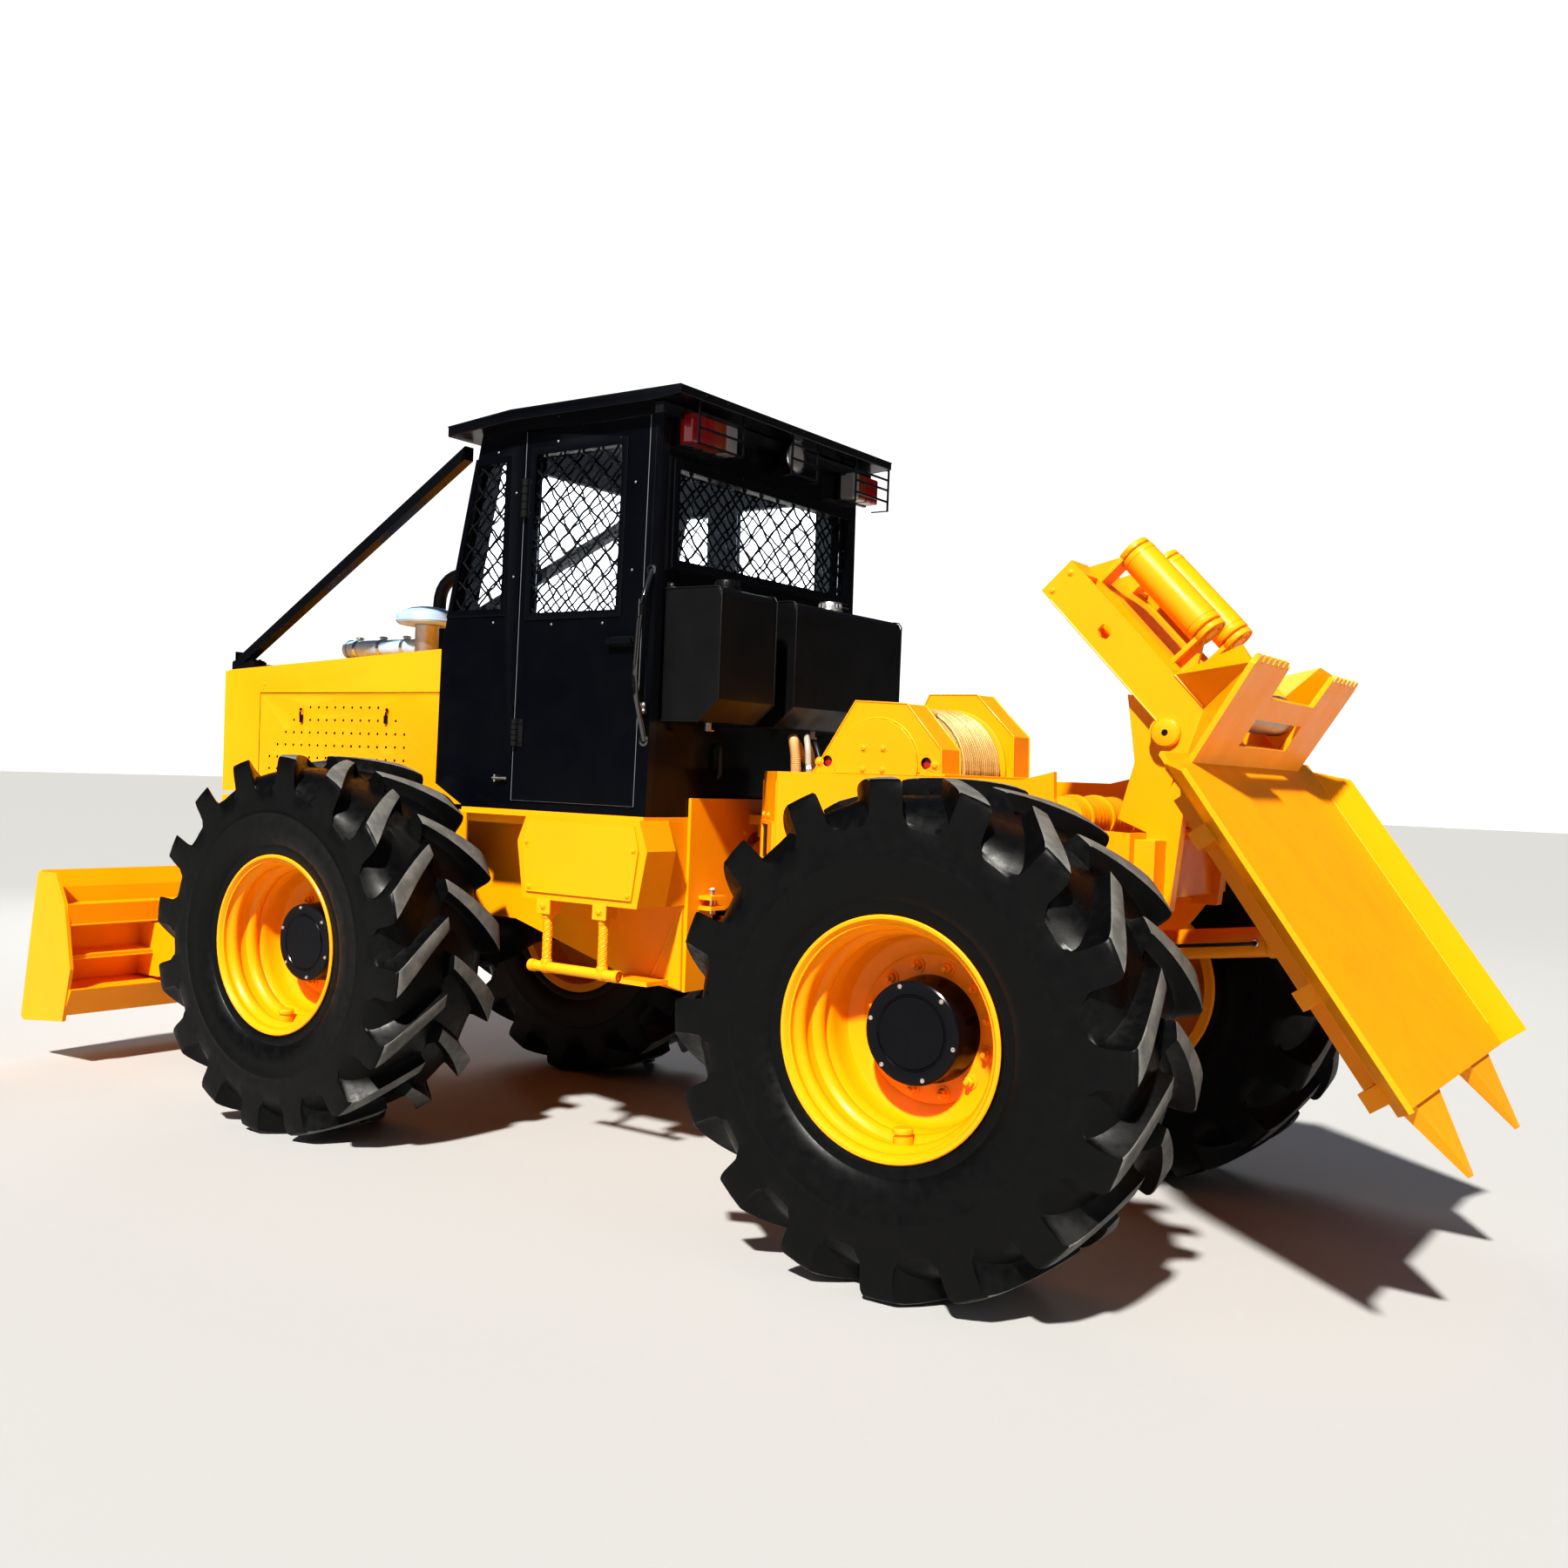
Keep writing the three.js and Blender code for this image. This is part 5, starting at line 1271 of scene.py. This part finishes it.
drum = Part()
for y, way in ((-195, -1), (250, 1)):
    drum.lathe([(0.212, 0.001), (0.236, 0.001), (0.2365, -0.004), (0.2365, -0.010),
                (0.230, -0.013), (0.212, -0.013)], at(DRUM_X, y, DRUM_Z), (0, way, 0), 64,
               closed=True)
    for r in (0.09, 0.15):
        drum.lathe([(r - 0.006, 0.0), (r, 0.003), (r + 0.006, 0.0)], at(DRUM_X, y, DRUM_Z),
                   (0, way, 0))
drum.finish("drum_rims", [yellow], "winch_rotor", "yellow_paint")

tube = Part()
profile = [(TIP, -0.3945), (0.075, -0.3945)]
for i in range(24):
    y = -0.38 + i * 0.033
    profile += [(0.075, y), (0.0742, y + 0.003), (0.075, y + 0.006)]
profile += [(0.075, 0.3945), (TIP, 0.3945)]
tube.lathe(profile, at(-180, 0, 1478), (0, 1, 0))
for y in (-300, -110, 110, 300):
    tube.lathe([(0.075, -0.014), (0.080, -0.014), (0.0812, -0.012), (0.0812, 0.012),
                (0.080, 0.014), (0.075, 0.014)], at(-180, y, 1478), (0, 1, 0))
tube.finish("cross_tube_dressed", [yellow], "rear_chassis", "yellow_paint",
            replaces=["cross_tube"])

# ------------------------------------------------------------------ head and loading plate
HEAD_TURN = math.radians(46.5)
SHEET_TURN = math.pi - math.atan2(971, 706)


def on_head(u, y, n):
    """A place beside the arms: u up them, n out of them."""
    return at(-500 + u * math.cos(HEAD_TURN) - n * math.sin(HEAD_TURN), y,
              1775 + u * math.sin(HEAD_TURN) + n * math.cos(HEAD_TURN))


def on_sheet(u, y, n):
    """A place on the loading plate: u down it, n to its underside."""
    return at(-660 + u * math.cos(SHEET_TURN) + n * math.sin(SHEET_TURN), y,
              1700 - u * math.sin(SHEET_TURN) + n * math.cos(SHEET_TURN))


up_arms = (on_head(1, 0, 0) - on_head(0, 0, 0)).normalized()
out_arms = (on_head(0, 0, 1) - on_head(0, 0, 0)).normalized()
for place, side in SIDES:
    roller = Part()
    roller.lathe(both_ways([(TIP, 0.181), (0.052, 0.181), (0.060, 0.179), (0.062, 0.176),
                            (0.062, 0.160), (0.0605, 0.158), (0.0605, 0.154),
                            (0.062, 0.152)]), on_head(398.5, side * 150, 288), up_arms, 56)
    roller.finish(f"side_roller_{place}_dressed", [yellow],
                  f"side_roller_{place}_rotor", "yellow_paint",
                  replaces=[f"side_roller_{place}"])
roller = Part()
roller.lathe(both_ways([(TIP, 0.294), (0.062, 0.294), (0.070, 0.291), (0.072, 0.286),
                        (0.072, 0.262), (0.070, 0.259)]), on_head(-55, 0, 185), (0, 1, 0),
             56)
roller.finish("cross_roller_dressed", [steel], "cross_roller_rotor", "bare_steel",
              replaces=["cross_roller"])

fairlead = Part()
for side in (1, -1):
    way = (0, side, 0)
    fairlead.lathe([(TIP, 0.003), (0.042, 0.003), (0.045, 0.001), (0.045, -0.001)],
                   on_head(0, side * 336, 0), way, 40)
    fairlead.lathe([(TIP, 0.005), (0.010, 0.005), (0.011, 0.003), (0.011, 0.001)],
                   on_head(0, side * 336, 0), way, 20, 1)
    fairlead.lathe([(0.0462, -0.016), (0.049, -0.015), (0.049, -0.002), (0.0462, 0.0005)],
                   on_head(0, side * 336, 0), way, 40)
    for u, flip in ((195, -1), (600, 1)):
        centre = on_head(u, side * 150, 288)
        fairlead.lathe([(TIP, 0.005), (0.024, 0.005), (0.026, 0.003), (0.026, 0.0),
                        (0.050, 0.0), (0.0535, 0.004), (0.058, 0.003), (0.0592, 0.0),
                        (0.0592, -0.014)], centre, up_arms * flip, 40)
        fairlead.bolt_ring(centre, out_arms * 0.038, (0, 0.038, 0), 4, up_arms * flip, 0.006,
                           0.005, 0.5)
    # Beads where the horn plates meet the arms, and plates on the pin.
    fairlead.tube([on_head(u, side * 321, 144) for u in range(-16, 126, 20)], 0.004, 6)
    fairlead.tube([on_head(20 + k * 30, side * 321, 1.5) for k in range(21)], 0.0035, 6)
    for u, n in ((640, 30), (640, 115)):
        fairlead.bolt(on_head(u, side * 320, n), way, 0.009, 0.006)
    # Pins of the cross roller.
    fairlead.bolt(on_head(-55, side * 320, 185), way, 0.020, 0.012)
fairlead.finish("head_fittings", [yellow, black_satin], "loader", "yellow_paint")

plate_trim = Part()
off_sheet = (on_sheet(0, 0, 1) - on_sheet(0, 0, 0)).normalized()
for side in (1, -1):
    plate_trim.tube([on_sheet(u, side * 797, -1) for u in range(40, 1200, 90)], 0.0045, 6)
    for u in (60, 1130):
        plate_trim.tube([on_sheet(u, side * 150, 14), on_sheet(u, side * 780, 14)], 0.004, 6)
    for u in (260, 800, 1120):
        plate_trim.bolt(on_sheet(u, side * 300, 112), off_sheet, 0.012, 0.009)
plate_trim.tube([on_sheet(2, y, 8) for y in range(-790, 791, 79)], 0.009)
plate_trim.finish("loading_plate_trim", [yellow], "loader", "yellow_paint")

# ------------------------------------------------------------------ blade
edge = Part()
for side in (1, -1):
    for k in range(9):
        y = side * (60 + k * 122)
        for t in (0.22, 0.72):
            edge.bolt(at(5081 - 120 * t, y, 216 + 85 * t), (85, 0, 120), 0.012, 0.006)
    edge.lathe([(TIP, 0.013), (0.040, 0.012), (0.046, 0.008), (0.046, -0.002)],
               at(3660, side * 600, 640), (0, side, 0), 28)
    edge.bolt(at(3660, side * 613, 640), (0, side, 0), 0.016, 0.012)
    edge.bolt(at(4250, side * 595, 740), (0, side, 0), 0.018, 0.012)
edge.tube([at(4690, y, 713) for y in range(-1080, 1081, 120)], 0.006, 6)
edge.tube([at(4700, y, 541) for y in range(-1080, 1081, 120)], 0.004, 6)
edge.finish("blade_fittings", [yellow], "blade_assembly", "yellow_paint")

# ------------------------------------------------------------------ hoses
hoses = Part()


def hose(part, points, radius, mark, sleeve=False):
    """A flexible line bent smoothly through points, with a rippled sleeve if asked."""
    points = [Vector(p) for p in points]
    path = []
    for i in range(len(points) - 1):
        p0 = points[i - 1] if i else points[0]
        p1, p2 = points[i], points[i + 1]
        p3 = points[i + 2] if i + 2 < len(points) else points[-1]
        for k in range(10):
            t = k / 10
            path.append(0.5 * (2 * p1 + (p2 - p0) * t
                               + (2 * p0 - 5 * p1 + 4 * p2 - p3) * t * t
                               + (3 * p1 - p0 - 3 * p2 + p3) * t ** 3))
    path.append(points[-1])
    if not sleeve:
        part.tube(path, radius, 12, mark)
        return
    dense = []
    for a, b in zip(path, path[1:]):
        dense += [a.lerp(b, k / 3) for k in range(3)]
    dense.append(path[-1])
    radii = [radius * (1 + 0.09 * math.sin(k * 2.1)) for k in range(len(dense))]
    part.tube(dense, radii, 12, mark)


NOSE_TOP = 1600
# Hoses looped over the nose: [route in millimetres, radius, look, sleeved].
NOSE_HOSES = [
    ([(1085, 96, NOSE_TOP), (1088, 100, 1668), (1108, 84, 1724), (1140, 40, 1738),
      (1150, -20, 1700), (1128, -60, 1640), (1120, -64, NOSE_TOP)], 0.0205, 0, True),
    ([(1060, 40, NOSE_TOP), (1064, 44, 1690), (1088, 20, 1742), (1120, -30, 1746),
      (1140, -90, 1700), (1120, -110, NOSE_TOP)], 0.0130, 1, False),
    ([(1040, -20, NOSE_TOP), (1046, -16, 1660), (1082, -40, 1720), (1124, -96, 1716),
      (1130, -140, 1650), (1110, -148, NOSE_TOP)], 0.010, 2, False),
]
for route, radius, look, sleeved in NOSE_HOSES:
    hose(hoses, [at(*spot) for spot in route], radius, look, sleeved)
for route, *_ in NOSE_HOSES:
    for x, y, z in (route[0], route[-1]):
        hoses.lathe([(0.019, 0.0), (0.020, 0.004), (0.020, 0.018), (0.017, 0.022),
                     (0.017, 0.034)], at(x, y, z + 3), (0, 0, 1), 6, 3)
hoses.finish("nose_hoses", [hose_beige, hose_clear, hose_black, zinc], "rear_chassis",
             "dark_plastic")

hoses = Part()
for side in (1, -1):
    route = [(1334, 300, 1700), (1320, 302, 1690), (1317, 304, 1640), (1320, 298, 1590),
             (1334, 292, 1570)]
    hose(hoses, [at(x, side * y, z) for x, y, z in route], 0.009, 0)
hoses.finish("bulkhead_hoses", [hose_black], "front_chassis", "dark_plastic")

# ------------------------------------------------------------------ cab inside
inside = Part()
wheel_at = at(2133, 0, 2157)
tilt = Vector((-90, 0, 100)).normalized()
inside.lathe([(0.186 + 0.0145 * math.cos(a), 0.0145 * math.sin(a))
              for a in [turned(k, 14) for k in range(14)]], wheel_at, tilt, 56,
             closed=True)
inside.lathe([(TIP, 0.024), (0.030, 0.022), (0.042, 0.012), (0.044, -0.010),
              (0.026, -0.030), (0.026, -0.060)], wheel_at, tilt, 28)
across_wheel = Vector((0, 1, 0))
down_wheel = tilt.cross(across_wheel)
for a in (0.35, math.pi - 0.35, 1.5 * math.pi):
    out = across_wheel * math.cos(a) + down_wheel * math.sin(a)
    inside.tube([wheel_at + out * 0.03, wheel_at + out * 0.10 - tilt * 0.01,
                 wheel_at + out * 0.182], [0.012, 0.010, 0.008], 10)
inside.tube([wheel_at - tilt * 0.03, at(2225, 0, 2055), at(2330, 0, 1940)],
            [0.022, 0.024, 0.026], 16)
console = []
for z, x0, x1, half in ((1560, 2300, 2410, 105), (1700, 2290, 2416, 112),
                        (1850, 2276, 2420, 118), (1930, 2262, 2420, 120),
                        (1962, 2300, 2420, 112)):
    console.append(rounded_ring((x0, -half), (x1, half), 22, 22, 3,
                                lambda x, y, z=z: at(x, y, z)))
inside.loft(console)
for y in (-70, 0, 70):
    inside.lathe([(TIP, 0.001), (0.021, 0.001), (0.024, 0.004), (0.027, 0.004),
                  (0.027, -0.006)], at(2272 if y else 2270, y, 1895), (-1, 0, 0.12), 28, 1)
for y, x, top in ((-60, 2300, (2262, -82, 2142)), (60, 2300, (2262, 82, 2142)),
                  (-92, 2330, (2300, -104, 2110))):
    inside.tube([at(x, y, 1950), at(x - 10, y * 1.08, 2030), at(*top)], 0.0062, 10, 1)
    inside.lathe([(TIP, 0.026), (0.012, 0.022), (0.017, 0.010), (0.016, -0.006),
                  (0.009, -0.018)], at(*top), (-0.1, 0, 1), 18)
for y in (-150, 150):
    inside.slab(2330, 2344, y - 45, y + 45, 1500, 1600)
    inside.tube([at(2344, y, 1560), at(2400, y, 1520)], 0.010, 8, 1)
inside.finish("controls_dressed", [plastic, steel], "front_chassis", "dark_plastic",
              replaces=["controls"])

# Seat: padded cushions on a steel pedestal.
frame_of_seat = Part()
frame_of_seat.slab(1705, 1975, -185, 185, 1441, 1470)
for i in range(6):
    z = 1472 + i * 34
    inset = 8 if i % 2 else 0
    frame_of_seat.slab(1715 + inset, 1965 - inset, -175 + inset, 175 - inset, z, z + 33, mark=1)
frame_of_seat.slab(1660, 2020, -215, 215, 1680, 1702)
frame_of_seat.slab(1510, 1528, -60, 60, 1700, 2250)
for side in (1, -1):
    frame_of_seat.tube([at(1560, side * 268, 1905), at(1578, side * 268, 1935),
                        at(1590, side * 268, 1950)], 0.014, 12)
    frame_of_seat.slab(1562, 1592, 225, 285, 1905, 1925, side)
frame_of_seat.finish("seat_frame", [black_satin, plastic], "front_chassis", "dark_plastic",
                     bevel=0.002)


def cushion(corners, crown, rows=12, seams=()):
    """A crowned pad between two opposite faces, with pulled-in channels."""
    low, high = corners
    size = high - low
    verts, faces = [], []
    n = rows
    for level in (0, 1):
        for i in range(n + 1):
            for j in range(n + 1):
                s, t = i / n, j / n
                bulge = (1 - (2 * s - 1) ** 4) * (1 - (2 * t - 1) ** 4)
                channel = sum(math.exp(-((s - c) / 0.028) ** 2) for c in seams)
                rise = crown * bulge - 0.35 * crown * channel * bulge
                edge_in = 0.010 * (1 - bulge)
                a = low.x + size.x * s
                b = low.y + size.y * t
                c = (high.z - crown + rise) if level else (low.z + 0.3 * crown - 0.3 * rise)
                cx, cy = (low.x + high.x) / 2, (low.y + high.y) / 2
                verts.append(Vector((a + (cx - a) * edge_in, b + (cy - b) * edge_in, c)))
    m = n + 1
    for i in range(n):
        for j in range(n):
            a = i * m + j
            faces.append((a, a + m, a + m + 1, a + 1))
            b = a + m * m
            faces.append((b, b + 1, b + m + 1, b + m))
    for k in range(n):
        for a, b in ((k, k + 1), (n * m + k + 1, n * m + k), ((k + 1) * m, k * m),
                     (k * m + n, (k + 1) * m + n)):
            faces.append((a, b, b + m * m, a + m * m))
    pad = Part()
    pad.mesh(verts, faces)
    # Piping round the lower and upper edges.
    for level in (0, 1):
        base = level * m * m
        loop = [base + j for j in range(n)] + [base + i * m + n for i in range(n)]
        loop += [base + n * m + n - j for j in range(n)]
        loop += [base + (n - i) * m for i in range(n)]
        pad.tube([verts[k] for k in loop], 0.0055, 8, 1, closed=True)
    return pad


def pad_piece(label, pad, turn=None, replaces=()):
    if turn is not None:
        pad.verts = [turn @ v for v in pad.verts]
    made = pad.finish(label, [vinyl, plastic], "front_chassis", "seat_cover",
                      replaces=replaces)
    sub = made.modifiers.new("smooth", "SUBSURF")
    sub.levels = sub.render_levels = 1
    return made


pad_piece("seat_cushion", cushion((at(1606, -243, 1706), at(2074, 243, 1832)), 0.030,
                                  seams=(0.25, 0.5, 0.75)), replaces=["seat"])
lean_back = Matrix.Translation(at(1640, 0, 1790)) @ Matrix.Rotation(
    math.radians(-84.5), 4, "Y")
pad_piece("seat_back", cushion((Vector((0.0, -0.225, 0.0)), Vector((0.62, 0.225, 0.11))), 0.028,
                               seams=(0.2, 0.4, 0.6, 0.8)), lean_back)
for label, side in SIDES:
    y0, y1 = sorted((side * 252, side * 298))
    pad_piece(f"armrest_{label}", cushion((at(1565, y0, 1952), at(1895, y1, 1998)), 0.012,
                                          rows=8))

# ------------------------------------------------------------------ studio
SUN_WAY = (0.19, -0.66, -0.73)   # the way sunlight travels


def studio():
    scene = bpy.context.scene
    floor = Part()
    floor.mesh([(-90, -90, 0), (90, -90, 0), (90, 90, 0), (-90, 90, 0)], [(0, 1, 2, 3)])
    floor_look = Look("floor", (0.42, 0.42, 0.42), 0.9)
    floor_look.bump(floor_look.noise(40, 3), 0.01, 0.001)
    made = floor.finish("studio_floor", [floor_look.mat])
    made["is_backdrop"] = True
    # The backdrop is white; what reaches surfaces is a soft sky, bluish from above.
    world = bpy.data.worlds.new("studio")
    world.use_nodes = True
    tree = world.node_tree

    def backdrop(colour, strength):
        made = tree.nodes.new("ShaderNodeBackground")
        made.inputs["Color"].default_value = (*colour, 1)
        made.inputs["Strength"].default_value = strength
        return made.outputs["Background"]

    def choose(ray, otherwise, shader):
        made = tree.nodes.new("ShaderNodeMixShader")
        tree.links.new(rays.outputs[ray], made.inputs["Fac"])
        tree.links.new(otherwise, made.inputs[1])
        tree.links.new(shader, made.inputs[2])
        return made.outputs["Shader"]

    sky = tree.nodes["Background"]
    way = tree.nodes.new("ShaderNodeTexCoord").outputs["Generated"]
    parts = tree.nodes.new("ShaderNodeSeparateXYZ")
    tree.links.new(way, parts.inputs[0])
    ramp = tree.nodes.new("ShaderNodeValToRGB")
    tree.links.new(parts.outputs["Z"], ramp.inputs["Fac"])
    below, above = ramp.color_ramp.elements
    below.position, above.position = 0.0, 0.75
    below.color, above.color = (0.36, 0.34, 0.31, 1), (0.30, 0.42, 0.72, 1)
    tree.links.new(ramp.outputs["Color"], sky.inputs["Color"])
    sky.inputs["Strength"].default_value = 0.14
    rays = tree.nodes.new("ShaderNodeLightPath")
    seen = choose("Is Camera Ray", sky.outputs["Background"], backdrop((1, 1, 1), 1.0))
    # Behind the panes the backdrop is a little dimmer and bluer.
    seen = choose("Is Transmission Ray", seen, backdrop((0.60, 0.68, 0.80), 0.85))
    tree.links.new(seen, tree.nodes["World Output"].inputs["Surface"])
    scene.world = world

    def shine(data, way, spot=(0, 0, 0)):
        light = bpy.data.objects.new(data.name, data)
        scene.collection.objects.link(light)
        light.location = spot
        light.rotation_mode = "QUATERNION"
        light.rotation_quaternion = Vector(way).to_track_quat("-Z", "Y")
        return light

    sun = bpy.data.lights.new("sun", "SUN")
    sun.energy, sun.angle, sun.color = 6.6, math.radians(3), (1.0, 0.97, 0.90)
    shine(sun, SUN_WAY)
    for name, spot, size, power, colour in (
            ("sheet", (2.0, 9.0, 5.0), 6.0, 90, (0.97, 0.98, 1.0)),
            ("behind", (-7.0, 2.0, 3.5), 4.0, 40, (1.0, 0.97, 0.92)),
            ("far", (7.0, -7.0, 5.0), 6.0, 500, (1.0, 0.98, 0.95))):
        data = bpy.data.lights.new(name, "AREA")
        data.size, data.energy, data.color = size, power, colour
        light = shine(data, Vector((0, 0, 1.2)) - Vector(spot), spot)
        light.visible_glossy = name != "far"


studio()
bpy.context.scene.view_settings.view_transform = "Standard"
bpy.context.scene.view_settings.look = "Medium High Contrast"

low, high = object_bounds()
